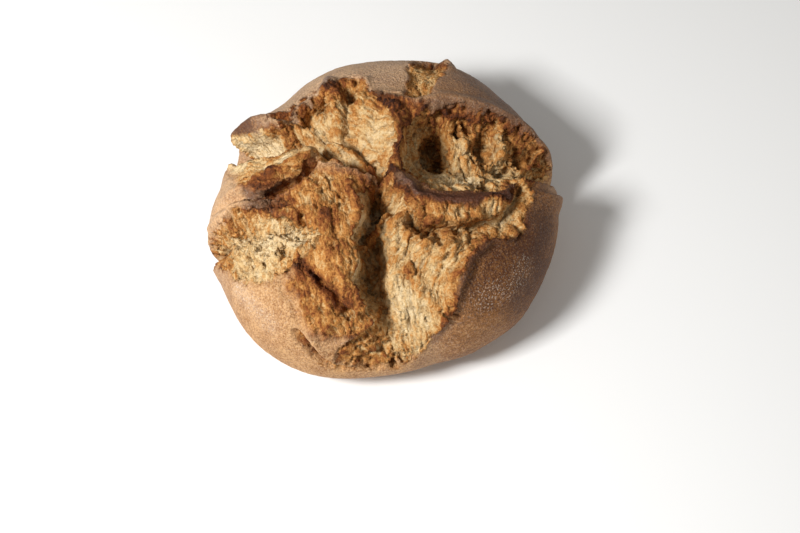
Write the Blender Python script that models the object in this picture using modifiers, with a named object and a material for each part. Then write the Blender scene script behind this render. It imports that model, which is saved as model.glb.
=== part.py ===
# Round hearth loaf: a domed sourdough loaf whose top has burst open in several deep tears.
# Metres, +Z up. The origin is the middle of the flat base. The photographed front is -Y.
#
# Places on the loaf are given on the crust map: millimetres measured over the crust from the
# middle of the top, X to the right and Y to the back. The loaf's widest girth is about 154 on it.

import math

import bmesh
import bpy
import numpy as np

MM = 0.001

# Driving sizes of the dome before it burst, in metres
GIRTH_RADIUS = 0.119
DOME_HEIGHT = 0.106
GIRTH_HEIGHT = 0.036
UPPER_ROUNDNESS = 2.25      # 2 is an ellipse, more is squarer
LOWER_ROUNDNESS = 2.6
BELOW_BASE = 0.003          # the form goes on this far under the base, and the base cut takes it off

# Sizes of the mesh
SPHERE_SUBDIVISIONS = 7
VOXEL = 0.0019
SHARE_OF_FACES = 0.096      # of the even mesh, which the part keeps
CUTTER_HEIGHT = 0.04

# Look of the crust on average
CRUST_COLOUR = (0.42, 0.22, 0.09, 1)
CRUST_ROUGHNESS = 0.7

# How the girth departs from a circle: azimuth in degrees, half width in degrees, millimetres outwards
GIRTH_BULGES = (
    (132, 20, -13),
    (159, 7, -4),
    (172, 10, -9),
    (186, 7, -2),
    (206, 10, -2),
    (238, 20, 5),
    (272, 12, -4),
    (287, 9, -5),
    (303, 13, -3),
    (338, 16, -2),
    (18, 6, 4),
    (62, 18, 5),
    (92, 14, -3),
)

# A tear has a rim, a closed outline where the crust ends, and a floor, the line of its deepest points.
# Depths run along the floor. A wall of 1 falls straight from rim to floor, more falls late.
# The lip is how far the crust's edge drops at once, and flat is the half width of a level floor.
TEARS = {
    "valley": dict(
        rim=[(1, -10), (9, -20), (12, -36), (14, -54), (11, -76), (10, -92), (16, -110), (24, -128),
             (24, -150), (8, -152), (-12, -149), (-11, -124), (-9, -114), (-14, -100), (-19, -85),
             (-17, -68), (-17, -52), (-13, -38), (-17, -28), (-11, -18)],
        floor=[(-3, -14), (-5, -32), (-7, -52), (-8, -78), (-5, -100), (3, -122), (8, -146)],
        depth=(26, 38, 42, 42, 36, 20, 6),
        wall=0.9, lip=2, flat=2.5),
    "right slope": dict(
        rim=[(2, -14), (20, -30), (34, -44), (60, -50), (66, -58), (60, -66), (53, -78), (50, -90),
             (52, -104), (44, -114), (36, -132), (26, -150), (8, -150), (2, -130), (-6, -100),
             (-10, -70), (-6, -40), (-4, -20)],
        floor=[(2, -20), (4, -50), (2, -80), (5, -104), (14, -126), (18, -146)],
        depth=(24, 24, 22, 19, 11, 3),
        wall=1.2, lip=2.5, flat=0),
    "shelf": dict(
        rim=[(8, -18), (20, -36), (38, -46), (66, -40), (80, -32), (88, -18), (96, -2), (104, -8),
             (101, -30), (97, -47), (88, -52), (72, -55), (58, -62), (40, -66), (22, -60),
             (10, -44)],
        floor=[(16, -40), (30, -50), (52, -50), (72, -45), (88, -34), (97, -16)],
        depth=(28, 22, 18, 14, 10, 5),
        wall=1.0, lip=2.5, flat=0),
    "crater": dict(
        rim=[(13, 20), (11, 4), (13, -10), (20, -20), (34, -25), (60, -24), (80, -22), (92, -8),
             (108, -3), (122, 1), (138, 10), (158, 23), (158, 42), (134, 42), (114, 46), (98, 49),
             (70, 50), (38, 46), (24, 40)],
        floor=[(34, 18), (50, 14), (70, 14), (98, 16), (118, 16), (134, 22), (156, 32)],
        depth=(34, 30, 28, 28, 22, 20, 20),
        wall=0.9, lip=3, flat=3),
    "back left": dict(
        rim=[(-154, 34), (-154, 62), (-134, 62), (-116, 54), (-104, 50), (-96, 47), (-80, 42),
             (-70, 40), (-66, 50), (-62, 60), (-46, 67), (-34, 76), (-16, 82), (-6, 72), (-6, 58),
             (2, 44), (9, 30), (11, 12), (9, -4), (2, -14), (-10, -12), (-26, -6), (-40, 0),
             (-48, 10), (-66, 12), (-84, 13), (-106, 20), (-124, 32)],
        floor=[(-152, 48), (-126, 44), (-104, 34), (-84, 29), (-66, 35), (-54, 30), (-45, 22),
               (-34, 15), (-20, 8), (-10, -1), (-4, -10)],
        depth=(24, 22, 19, 20, 27, 26, 26, 27, 28, 31, 34),
        wall=1.1, lip=2, flat=1),
    "left": dict(
        rim=[(-172, -32), (-150, -31), (-128, -30), (-108, -26), (-88, -23), (-74, -30), (-62, -40),
             (-46, -46), (-32, -56), (-44, -63), (-54, -74), (-70, -78), (-86, -79), (-100, -77),
             (-116, -66), (-134, -55), (-154, -48), (-172, -50)],
        floor=[(-170, -41), (-148, -40), (-124, -42), (-100, -43), (-80, -45), (-58, -49),
               (-40, -54)],
        depth=(20, 20, 12, 12, 12, 11, 6),
        wall=0.9, lip=2, flat=1),
    "back": dict(
        rim=[(14, 50), (17, 60), (19, 74), (21, 92), (26, 116), (52, 114), (48, 94), (43, 78),
             (38, 64), (33, 54), (26, 48), (16, 47)],
        floor=[(24, 52), (29, 70), (35, 92), (42, 112)],
        depth=(1.5, 2.5, 3, 8),
        wall=0.8, lip=2, flat=0),
    "left slit": dict(
        rim=[(-94, -20), (-80, -15), (-66, -11), (-54, -5), (-46, 5), (-40, 6), (-39, -2),
             (-52, -13), (-67, -20), (-80, -23)],
        floor=[(-88, -21), (-78, -19), (-66, -15.5), (-54, -9), (-43, 1)],
        depth=(4, 12, 16, 17, 15),
        wall=0.5, lip=1, flat=1),
    "left lobe top": dict(
        rim=[(-44, 0), (-26, -4), (0, -10), (2, -40), (-3, -84), (3, -112), (-4, -130), (-30, -128),
             (-48, -120), (-58, -106), (-60, -94), (-68, -86), (-64, -74), (-54, -62), (-62, -50),
             (-70, -42), (-88, -24), (-82, -19), (-62, -13), (-50, -4)],
        floor=[(-40, -14), (-30, -50), (-32, -90), (-32, -118)],
        depth=(2, 2, 2, 2),
        wall=0.2, lip=1, flat=6),
    "left plate top": dict(
        rim=[(-132, 38), (-108, 27), (-84, 20), (-62, 18), (-42, 14), (-40, 0), (-58, -14),
             (-84, -21), (-98, -12), (-106, 2), (-120, 18)],
        floor=[(-118, 24), (-92, 8), (-56, 4)],
        depth=(1.5, 1.5, 1.5),
        wall=0.2, lip=0, flat=6),
    "crater crest": dict(
        rim=[(-10, 58), (10, 54), (24, 50), (40, 44), (28, 32), (22, 18), (20, 0), (19, -14),
             (10, -24), (-6, -16), (-2, 4), (-4, 28), (-8, 44)],
        floor=[(6, 48), (12, 30), (10, 0), (7, -12)],
        depth=(1.5, 1.5, 1.5, 1.5),
        wall=0.2, lip=0, flat=6),
    "crater front face": dict(
        rim=[(10, -21), (18, -28), (30, -33), (46, -34), (64, -31), (82, -23), (88, -30), (68, -46),
             (40, -52), (20, -44), (6, -30)],
        floor=[(16, -34), (38, -43), (64, -38), (80, -30)],
        depth=(1.5, 1.5, 1.5, 1.5),
        wall=0.2, lip=0, flat=5),
    "crater right end": dict(
        rim=[(82, -24), (92, -2), (112, 4), (108, -8), (101, -16), (98, -30), (88, -28)],
        floor=[(88, -20), (100, -4)],
        depth=(2, 2),
        wall=0.2, lip=0, flat=6),
    "arch slit": dict(
        rim=[(-80, 48), (-70, 57), (-62, 67), (-50, 75), (-42, 75), (-42, 71), (-50, 71), (-59, 63),
             (-67, 53), (-77, 45)],
        floor=[(-78, 47), (-64, 60), (-50, 73), (-43, 73)],
        depth=(1.5, 3.5, 3.5, 3.5),
        wall=0.5, lip=0.5, flat=0),
    "front left slit": dict(
        rim=[(-60, -107), (-54, -113), (-49, -123), (-43, -134), (-31, -145), (-21, -152),
             (-24, -156), (-38, -150), (-50, -139), (-57, -126), (-61, -114)],
        floor=[(-58, -112), (-54, -125), (-46, -137), (-32, -149)],
        depth=(6, 10, 9, 4),
        wall=0.7, lip=1, flat=0),
    "valley foot": dict(
        rim=[(-8, -116), (-20, -122), (-34, -128), (-38, -136), (-30, -146), (-16, -153), (0, -158),
             (14, -158), (9, -148), (-2, -140), (-6, -128)],
        floor=[(-12, -124), (-22, -134), (-14, -146), (2, -153)],
        depth=(5, 5, 5, 3),
        wall=0.5, lip=1.5, flat=3),
}

# Along these stretches of rim the crust hangs over the tear: a path, the millimetres that the torn
# side is drawn under it (reach) and sunk (drop), how wide a strip that takes, and which side is torn.
OVERHANGS = {
    "back left arch": dict(path=[(-86, 46), (-64, 58), (-53, 65), (-42, 65), (-36, 72)], reach=6,
                           drop=9, width=15, torn=-1),
    "nose": dict(path=[(-134, 56), (-114, 51), (-94, 46), (-70, 39)], reach=5, drop=7, width=13,
                 torn=-1),
    "crater back": dict(path=[(14, 32), (24, 40), (38, 43), (70, 47), (98, 47), (116, 44)], reach=4,
                        drop=4, width=17, torn=-1),
    "crater front": dict(path=[(8, -18), (20, -37), (38, -46), (66, -40), (80, -31)], reach=5,
                         drop=4, width=14, torn=-1),
    "left bar": dict(path=[(-41, 4), (-53, -4), (-65, -10), (-86, -17)], reach=5, drop=3, width=8,
                     torn=1),
    "left lobe": dict(path=[(-15, -34), (-17, -52), (-17, -68), (-19, -85), (-13, -102),
                      (-9, -116)], reach=4, drop=3, width=12, torn=1),
}

# Ridges and folds stand on what the tears left: a path, its height in millimetres, and half widths
# to the left and right of the way the path runs. A height below nothing is a crease.
RIDGES = {
    "crater front rim": dict(path=[(7, -15), (18, -28), (30, -34), (46, -33), (62, -31), (78, -28),
                             (88, -20)], height=(6, 9, 8, 6, 6, 5, 2), left=7, right=8),
    "crater left crest": dict(path=[(2, 48), (9, 32), (12, 16), (11, 0), (7, -14)],
                              height=(3, 5, 6, 5, 4), left=10, right=16),
    "crater fin": dict(path=[(84, 44), (93, 34), (92, 24)], height=(7, 8, 3), left=5, right=4),
    "crater wall fold": dict(path=[(60, 42), (61, 30), (60, 16)], height=(3, 5, 4), left=5,
                             right=5),
    "crater swirl": dict(path=[(56, 2), (60, -6), (67, -8), (73, -4), (72, 3), (66, 5)],
                         height=(2, 4, 5, 5, 5, 4), left=3, right=4),
    "crater floor rise": dict(path=[(70, 18), (84, 12), (100, 6)], height=(4, 6, 4), left=6,
                              right=9),
    "leaf fold": dict(path=[(-46, 22), (-32, 23), (-19, 16), (-9, 3)], height=(5, 11, 11, 6),
                      left=7, right=9),
    "leaf back crease": dict(path=[(-44, 37), (-32, 33), (-22, 28), (-14, 21), (-7, 10), (-2, 0)],
                             height=(-3, -5, -6, -7, -7, -3), left=4, right=3),
    "leaf front crease": dict(path=[(-45, 13), (-36, 5), (-24, -1), (-12, -2)],
                              height=(-4, -6, -6, -4), left=4, right=3),
    "left plate crest": dict(path=[(-112, -10), (-86, -11), (-66, -5), (-48, 5)],
                             height=(1, 6, 8, 6), left=11, right=5),
    "back left buttress": dict(path=[(-36, 84), (-33, 72), (-30, 56), (-27, 38)],
                               height=(2, 9, 11, 6), left=7, right=11),
    "curtain": dict(path=[(-9, 72), (-12, 60), (-15, 46)], height=(4, 6, 3), left=7, right=3),
    "nose edge": dict(path=[(-74, 42), (-78, 34), (-86, 26)], height=(5, 7, 3), left=3, right=9),
    "nose": dict(path=[(-114, 51), (-100, 52), (-84, 47), (-73, 42)], height=(6, 6, 7, 6), left=13,
                 right=4),
    "left crest": dict(path=[(-130, -26), (-106, -22), (-84, -22), (-70, -33), (-54, -43)],
                       height=(2, 3, 4, 4, 4), left=7, right=6),
    "centre left lobe": dict(path=[(-44, -26), (-34, -50), (-28, -70), (-26, -86)],
                             height=(2, 6, 7, 5), left=14, right=20),
    "front left lump": dict(path=[(-44, -96), (-40, -114)], height=(5, 4), left=13, right=15),
    "lobe crease": dict(path=[(-52, -66), (-44, -77), (-32, -89), (-26, -102)],
                        height=(-4, -8, -9, -7), left=4, right=5),
    "band crease": dict(path=[(-116, -40), (-100, -42), (-84, -46), (-66, -49), (-52, -53),
                        (-40, -60)], height=(-2, -3, -4, -4, -4, -2), left=5, right=3),
    "band swell": dict(path=[(-112, -54), (-92, -57), (-76, -60)], height=(3, 5, 3), left=9,
                       right=11),
    "sheet": dict(path=[(-32, -6), (-18, -11), (-6, -14), (4, -20)], height=(2, 4, 6, 5), left=3,
                  right=6),
    "sheet edge": dict(path=[(-22, -18), (-18, -32), (-16, -46)], height=(2, 4, 3), left=6,
                       right=2),
    "plate crease": dict(path=[(-124, -17), (-102, -17), (-86, -17)], height=(-1, -3, -4), left=4,
                         right=6),
    "bridge": dict(path=[(3, -36), (-7, -48), (-13, -64)], height=(13, 16, 7), left=4, right=5),
    "slope lip": dict(path=[(99, -28), (92, -50), (66, -58), (54, -76), (50, -100), (38, -124)],
                      height=(3, 3, 4, 5, 4, 2), left=3, right=10),
    "slope fold": dict(path=[(60, -38), (59, -49), (48, -62), (46, -74)], height=(4, 5, 4, 2),
                       left=3, right=5),
    "slope fold two": dict(path=[(52, -42), (48, -54), (40, -69), (38, -80)], height=(4, 5, 3, 1),
                           left=3, right=5),
    "slope step": dict(path=[(23, -70), (16, -79), (24, -91), (32, -101), (43, -105)],
                       height=(2, 4, 4, 4, 3), left=10, right=3),
    "tongue": dict(path=[(9, -26), (8, -43), (7, -62)], height=(4, 5, 3), left=6, right=4),
    "back lip": dict(path=[(0, 52), (24, 46), (56, 50), (84, 52), (108, 49)],
                     height=(3, 4, 4, 4, 2), left=13, right=3),
    "right tip": dict(path=[(98, -16), (112, -12), (127, -5), (144, 5), (154, 13)],
                      height=(3, 4, 5, 4, 2), left=3, right=15),
    "slit lip": dict(path=[(-50, -112), (-44, -126), (-36, -138), (-24, -148)], height=(2, 3, 3, 1),
                     left=5, right=3),
    "foot lump": dict(path=[(-30, -134), (-18, -142)], height=(3, 2), left=6, right=6),
    "back tips": dict(path=[(50, 96), (52, 118)], height=(2, 5), left=6, right=6),
}

# Pits are burst bubbles: a place, a radius along X and Y, and a depth, all in millimetres. Steep is
# the share of the radius over which the bottom stays level.
PITS = {
    "centre hollow": dict(at=(-5, -12), radius=(12, 12), depth=6),
    "sheet hollow": dict(at=(-9, -22), radius=(7, 7), depth=9),
    "crater big hole": dict(at=(40, 27), radius=(11, 15), depth=22, steep=0.6),
    "crater middle hole": dict(at=(76, 32), radius=(8, 9), depth=14, steep=0.6),
    "crater upper hole": dict(at=(58, 38), radius=(4, 6), depth=6),
    "crater right hole": dict(at=(98, 20), radius=(14, 7), depth=15),
    "crater border hollow": dict(at=(116, 36), radius=(13, 8), depth=14, steep=0.5),
    "buttress hollow": dict(at=(-18, 64), radius=(9, 11), depth=13),
    "nose hollow": dict(at=(-64, 37), radius=(8, 10), depth=9),
    "dark hollow": dict(at=(-70, -26), radius=(15, 6), depth=6),
    "nose notch": dict(at=(-136, 60), radius=(26, 15), depth=20),
    "right notch": dict(at=(153, 33), radius=(12, 9), depth=9),
    "lobe hollow": dict(at=(-50, -42), radius=(5, 8), depth=5),
    "left hole": dict(at=(-67, -60), radius=(5, 8), depth=10),
    "front left pit": dict(at=(-24, -106), radius=(8, 7), depth=8),
    "slope notch": dict(at=(93, -46), radius=(3, 6), depth=6),
    "slope gap": dict(at=(50, -108), radius=(8, 3), depth=6),
    "foot pit": dict(at=(-8, -134), radius=(6, 5), depth=5),
    "arch hollow": dict(at=(-56, 52), radius=(12, 7), depth=6),
}


def value_noise(points, cell, seed):
    # Random heights on a square lattice, blended smoothly between its corners.
    table = np.random.default_rng(seed).uniform(-1, 1, (64, 64))
    place = points / cell
    corner = np.floor(place).astype(int)
    part = place - corner
    part = part * part * (3 - 2 * part)
    i, j = corner[:, 0], corner[:, 1]
    near = table[i % 64, j % 64] * (1 - part[:, 0]) + table[(i + 1) % 64, j % 64] * part[:, 0]
    far = table[i % 64, (j + 1) % 64] * (1 - part[:, 0]) + table[(i + 1) % 64, (j + 1) % 64] * part[:, 0]
    return near * (1 - part[:, 1]) + far * part[:, 1]


def rounded(path, closed=False, rounds=2):
    # Cuts the corners of a path, so that a few points make a smooth line.
    points = np.array(path, float)
    for _ in range(rounds):
        ahead = np.roll(points, -1, axis=0) if closed else points[1:]
        here = points if closed else points[:-1]
        cut = np.stack([here * 0.75 + ahead * 0.25, here * 0.25 + ahead * 0.75], axis=1).reshape(-1, 2)
        points = cut if closed else np.vstack([points[:1], cut, points[-1:]])
    return points


def nearest_on(points, path):
    # For each point: its distance to the path, how far along the path that is (0 to 1), and its side.
    steps = np.diff(path, axis=0)
    lengths = np.hypot(*steps.T)
    starts = np.concatenate([[0], np.cumsum(lengths)])
    best = np.full(len(points), np.inf)
    along = np.zeros(len(points))
    side = np.ones(len(points))
    for start, step, length, before in zip(path[:-1], steps, lengths, starts):
        offset = points - start
        share = np.clip(offset @ step / length**2, 0, 1)
        gap = np.hypot(*(offset - share[:, None] * step).T)
        closer = gap < best
        best[closer] = gap[closer]
        along[closer] = ((before + share * length) / starts[-1])[closer]
        side[closer] = np.sign(step[0] * offset[:, 1] - step[1] * offset[:, 0])[closer]
    return best, along, side


def inside(points, outline):
    # Counts how often a line to the right of each point crosses the outline.
    crossings = np.zeros(len(points), int)
    for (x0, y0), (x1, y1) in zip(outline, np.roll(outline, -1, axis=0)):
        spans = (y0 > points[:, 1]) != (y1 > points[:, 1])
        with np.errstate(divide="ignore", invalid="ignore"):
            cross_x = x0 + (points[:, 1] - y0) * (x1 - x0) / (y1 - y0)
        crossings += spans & (points[:, 0] < cross_x)
    return crossings % 2 == 1


def eased(value, low, high):
    share = np.clip((value - low) / (high - low), 0, 1)
    return share * share * (3 - 2 * share)


def spread(values, along):
    # A size that changes along a path, given at evenly spaced places.
    return np.interp(along, np.linspace(0, 1, len(values)), values)


def spread_path(path, along):
    lengths = np.concatenate([[0], np.cumsum(np.hypot(*np.diff(path, axis=0).T))])
    return np.stack([np.interp(along * lengths[-1], lengths, path[:, axis]) for axis in (0, 1)], axis=1)


def tear_depth(points, tear):
    rim = rounded(tear["rim"], closed=True)
    to_rim = nearest_on(points, np.vstack([rim, rim[:1]]))[0]
    to_floor, along, _ = nearest_on(points, rounded(tear["floor"]))
    to_floor = np.maximum(to_floor - tear["flat"], 0)
    rise = to_floor / (to_floor + to_rim + 1e-6)
    depth = spread(tear["depth"], along) * (1 - rise) ** tear["wall"]
    depth += tear["lip"] * eased(to_rim, 0, 2.5)
    return np.where(inside(points, rim), depth, 0)


def ridge_height(points, ridge):
    gap, along, side = nearest_on(points, rounded(ridge["path"]))
    width = np.where(side > 0, ridge["left"], ridge["right"])
    return spread(ridge["height"], along) * (1 - eased(gap / width, 0, 1))


def pit_depth(points, pit):
    reach = np.hypot(*((points - pit["at"]) / pit["radius"]).T)
    return pit["depth"] * (1 - eased(reach, pit.get("steep", 0.35), 1))


def tuck_under(points, overhang):
    # How far the torn side sinks, and how far it is drawn back over the map under the crust's edge.
    path = rounded(overhang["path"])
    gap, along, side = nearest_on(points, path)
    share = gap / overhang["width"]
    strength = eased(share, 0, 0.25) * (1 - eased(share, 0.35, 1))
    strength *= eased(along, 0, 0.15) * (1 - eased(along, 0.85, 1)) * (side == overhang["torn"])
    ahead = spread_path(path, np.clip(along + 0.02, 0, 1)) - spread_path(path, np.clip(along - 0.02, 0, 1))
    ahead /= np.hypot(*ahead.T)[:, None] + 1e-9
    leftwards = np.stack([-ahead[:, 1], ahead[:, 0]], axis=1)
    return (overhang["drop"] * strength,
            -overhang["torn"] * overhang["reach"] * leftwards * strength[:, None])


def dome(polar, azimuth):
    # A point of the loaf before it burst: polar angle from the top, and azimuth.
    outwards = np.zeros_like(azimuth)
    for middle, width, push in GIRTH_BULGES:
        turn = (np.degrees(azimuth) - middle + 180) % 360 - 180
        outwards += push * MM * np.exp(-((turn / width) ** 2))
    radius = GIRTH_RADIUS + outwards
    upper = polar < math.pi / 2
    rise = np.where(upper, DOME_HEIGHT - GIRTH_HEIGHT, GIRTH_HEIGHT * 1.25)
    roundness = np.where(upper, UPPER_ROUNDNESS, LOWER_ROUNDNESS)
    reach = (np.abs(np.sin(polar) / radius) ** roundness
             + np.abs(np.cos(polar) / rise) ** roundness) ** (-1 / roundness)
    level = GIRTH_HEIGHT + reach * np.cos(polar)
    return np.stack([reach * np.sin(polar) * np.cos(azimuth),
                     reach * np.sin(polar) * np.sin(azimuth),
                     np.maximum(level, -BELOW_BASE)], axis=1)


def map_scale():
    # Polar angles down the side of the loaf, and how far each is over the crust from the top.
    polar = np.linspace(0, math.pi, 2000)
    upper = polar < math.pi / 2
    rise = np.where(upper, DOME_HEIGHT - GIRTH_HEIGHT, GIRTH_HEIGHT * 1.25)
    roundness = np.where(upper, UPPER_ROUNDNESS, LOWER_ROUNDNESS)
    reach = (np.abs(np.sin(polar) / GIRTH_RADIUS) ** roundness
             + np.abs(np.cos(polar) / rise) ** roundness) ** (-1 / roundness)
    outline = np.stack([reach * np.sin(polar), reach * np.cos(polar)], axis=1)
    steps = np.hypot(*np.diff(outline, axis=0).T)
    return polar, np.concatenate([[0], np.cumsum(steps)]) / MM


def burst(places):
    # Millimetres that each place on the crust map stands out from the dome, or in from it if negative,
    # and how far it is moved over the map.
    wander = np.stack([value_noise(places, 14, seed) + 0.7 * value_noise(places, 6, seed + 1)
                       + 0.35 * value_noise(places, 3, seed + 2) for seed in (11, 21)], axis=1)
    moved = places + 1.8 * wander
    depth = np.zeros(len(places))
    for tear in TEARS.values():
        depth = np.maximum(depth, tear_depth(moved, tear))
    torn = eased(depth, 0.5, 2.5)
    height = -depth
    for ridge in RIDGES.values():
        height += ridge_height(moved, ridge)
    for pit in PITS.values():
        height -= pit_depth(moved, pit)
    height += torn * (2.2 * value_noise(places, 10, 5) + 1.3 * value_noise(places, 5, 6))
    height += (1 - torn) * 0.8 * value_noise(places, 22, 7)
    shift = np.zeros_like(places)
    for overhang in OVERHANGS.values():
        sink, drawn = tuck_under(moved, overhang)
        height -= sink
        shift += drawn
    return height, shift * eased(depth, 1.5, 6)[:, None]


def shape_loaf(directions):
    # Unit directions of a sphere become points on the burst loaf.
    polar = np.arccos(np.clip(directions[:, 2], -1, 1))
    azimuth = np.arctan2(directions[:, 1], directions[:, 0])
    polars, lengths = map_scale()
    over_crust = np.interp(polar, polars, lengths)
    places = over_crust[:, None] * np.stack([np.cos(azimuth), np.sin(azimuth)], axis=1)
    points = dome(polar, azimuth)
    small = 1e-3
    above, below = np.clip(polar - small, 0, math.pi), np.clip(polar + small, 0, math.pi)
    down = dome(below, azimuth) - dome(above, azimuth)
    around = np.stack([-np.sin(azimuth), np.cos(azimuth), np.zeros_like(azimuth)], axis=1)
    normals = np.cross(down, around)
    normals /= np.linalg.norm(normals, axis=1)[:, None] + 1e-12
    upright = polar < 0.02
    normals[upright] = (0, 0, 1)
    height, shift = burst(places)
    fade = 1 - eased(over_crust, 158, 178)
    points += normals * (height * fade * MM)[:, None]
    outwards = np.stack([np.cos(azimuth), np.sin(azimuth)], axis=1)
    down_share = np.einsum("ij,ij->i", shift, outwards) * fade * MM
    around_share = (shift[:, 1] * outwards[:, 0] - shift[:, 0] * outwards[:, 1]) * fade * MM
    points += down / (np.linalg.norm(down, axis=1)[:, None] + 1e-12) * down_share[:, None]
    points += around * around_share[:, None]
    points[:, 2] = np.maximum(points[:, 2], -BELOW_BASE)
    return points


def keep_outer_skin(mesh):
    # Where a fold closes on itself it seals a small hollow. Only the loaf's outer skin is kept.
    shape = bmesh.new()
    shape.from_mesh(mesh)
    shape.verts.ensure_lookup_table()
    seen = set()
    pieces = []
    for vert in shape.verts:
        if vert in seen:
            continue
        seen.add(vert)
        piece = [vert]
        for member in piece:
            for edge in member.link_edges:
                other = edge.other_vert(member)
                if other not in seen:
                    seen.add(other)
                    piece.append(other)
        pieces.append(piece)
    pieces.sort(key=len)
    for piece in pieces[:-1]:
        bmesh.ops.delete(shape, geom=piece, context="VERTS")
    shape.to_mesh(mesh)
    shape.free()


def make_loaf():
    mesh = bpy.data.meshes.new("burst dome")
    sphere = bmesh.new()
    bmesh.ops.create_icosphere(sphere, subdivisions=SPHERE_SUBDIVISIONS, radius=1)
    sphere.to_mesh(mesh)
    sphere.free()
    directions = np.empty(len(mesh.vertices) * 3)
    mesh.vertices.foreach_get("co", directions)
    directions = directions.reshape(-1, 3)
    directions /= np.linalg.norm(directions, axis=1)[:, None]
    mesh.vertices.foreach_set("co", shape_loaf(directions).ravel())
    mesh.update()
    dome_piece = bpy.data.objects.new("burst dome", mesh)
    bpy.context.scene.collection.objects.link(dome_piece)

    remesh = dome_piece.modifiers.new("Even mesh", "REMESH")
    remesh.mode = "VOXEL"
    remesh.voxel_size = VOXEL
    thin = dome_piece.modifiers.new("Fewer faces", "DECIMATE")
    thin.ratio = SHARE_OF_FACES
    evaluated = dome_piece.evaluated_get(bpy.context.evaluated_depsgraph_get())
    skin = bpy.data.meshes.new_from_object(evaluated)
    bpy.data.objects.remove(dome_piece)
    keep_outer_skin(skin)
    skin.name = "loaf"
    skin.shade_smooth()

    loaf = bpy.data.objects.new("loaf", skin)
    cut = loaf.modifiers.new("Flat base", "BOOLEAN")
    cut.operation = "DIFFERENCE"
    cut.object = make_base_cutter()
    return loaf


def make_base_cutter():
    # A block whose top is the table the loaf stands on.
    mesh = bpy.data.meshes.new("base cutter")
    block = bmesh.new()
    bmesh.ops.create_cube(block, size=1)
    bmesh.ops.scale(block, vec=(4 * GIRTH_RADIUS, 4 * GIRTH_RADIUS, CUTTER_HEIGHT), verts=block.verts)
    bmesh.ops.translate(block, vec=(0, 0, -CUTTER_HEIGHT / 2), verts=block.verts)
    block.to_mesh(mesh)
    block.free()
    cutter = bpy.data.objects.new("base cutter", mesh)
    cutter.hide_render = True
    cutter.display_type = "WIRE"
    return cutter


def crust_material():
    material = bpy.data.materials.new("baked crust")
    material.use_nodes = True
    surface = material.node_tree.nodes["Principled BSDF"]
    surface.inputs["Base Color"].default_value = CRUST_COLOUR
    surface.inputs["Roughness"].default_value = CRUST_ROUGHNESS
    surface.inputs["Metallic"].default_value = 0.0
    return material


for old in list(bpy.data.objects):
    bpy.data.objects.remove(old)

loaf = make_loaf()
loaf.data.materials.append(crust_material())
parts = bpy.data.collections.new("Sourdough loaf")
cutters = bpy.data.collections.new("Cutters")
for collection in (parts, cutters):
    bpy.context.scene.collection.children.link(collection)
parts.objects.link(loaf)
cutters.objects.link(loaf.modifiers["Flat base"].object)
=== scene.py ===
import math

import bmesh
import bpy
import numpy as np
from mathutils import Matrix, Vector
from mathutils.kdtree import KDTree


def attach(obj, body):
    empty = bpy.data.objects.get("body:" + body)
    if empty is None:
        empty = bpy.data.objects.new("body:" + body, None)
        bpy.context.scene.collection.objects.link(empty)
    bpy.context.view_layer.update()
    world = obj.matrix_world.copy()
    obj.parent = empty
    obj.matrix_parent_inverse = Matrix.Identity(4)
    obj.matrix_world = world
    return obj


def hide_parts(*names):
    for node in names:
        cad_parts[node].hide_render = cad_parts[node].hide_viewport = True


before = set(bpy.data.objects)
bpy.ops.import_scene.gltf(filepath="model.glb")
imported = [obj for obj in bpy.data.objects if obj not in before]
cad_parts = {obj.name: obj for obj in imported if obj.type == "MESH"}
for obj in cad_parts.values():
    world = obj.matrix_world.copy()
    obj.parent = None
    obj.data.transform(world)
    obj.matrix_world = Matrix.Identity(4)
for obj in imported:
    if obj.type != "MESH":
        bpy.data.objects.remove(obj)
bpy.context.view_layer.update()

# A round hearth loaf whose top has burst open. Metres, +Z up, the base on the floor, the front at -Y.
# Places on the loaf are given on the crust map: millimetres over the crust from the middle of the top,
# X to the right and Y to the back. The loaf's widest girth is about 154 on it.
mm = 0.001

domeSizes = {
    "girthRadius": 0.119,
    "height": 0.106,
    "girthHeight": 0.036,
    "upperRoundness": 2.25,     # 2 is an ellipse, more is squarer
    "lowerRoundness": 2.6,
    "sphereSubdivisions": 8,
    "voxel": 0.00082,           # size of the even mesh that the relief is carved on
    "triangles": 196000,        # what the loaf keeps of it
    # azimuth and half width in degrees, and millimetres that the girth stands out there
    "girthBulges": [(132, 20, -13), (159, 7, -4), (172, 10, -9), (186, 7, -2), (206, 10, -2),
                    (238, 20, 5), (272, 12, -4), (287, 9, -5), (303, 13, -3), (338, 16, -2),
                    (18, 6, 4), (62, 18, 5), (92, 14, -3)],
}

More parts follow.
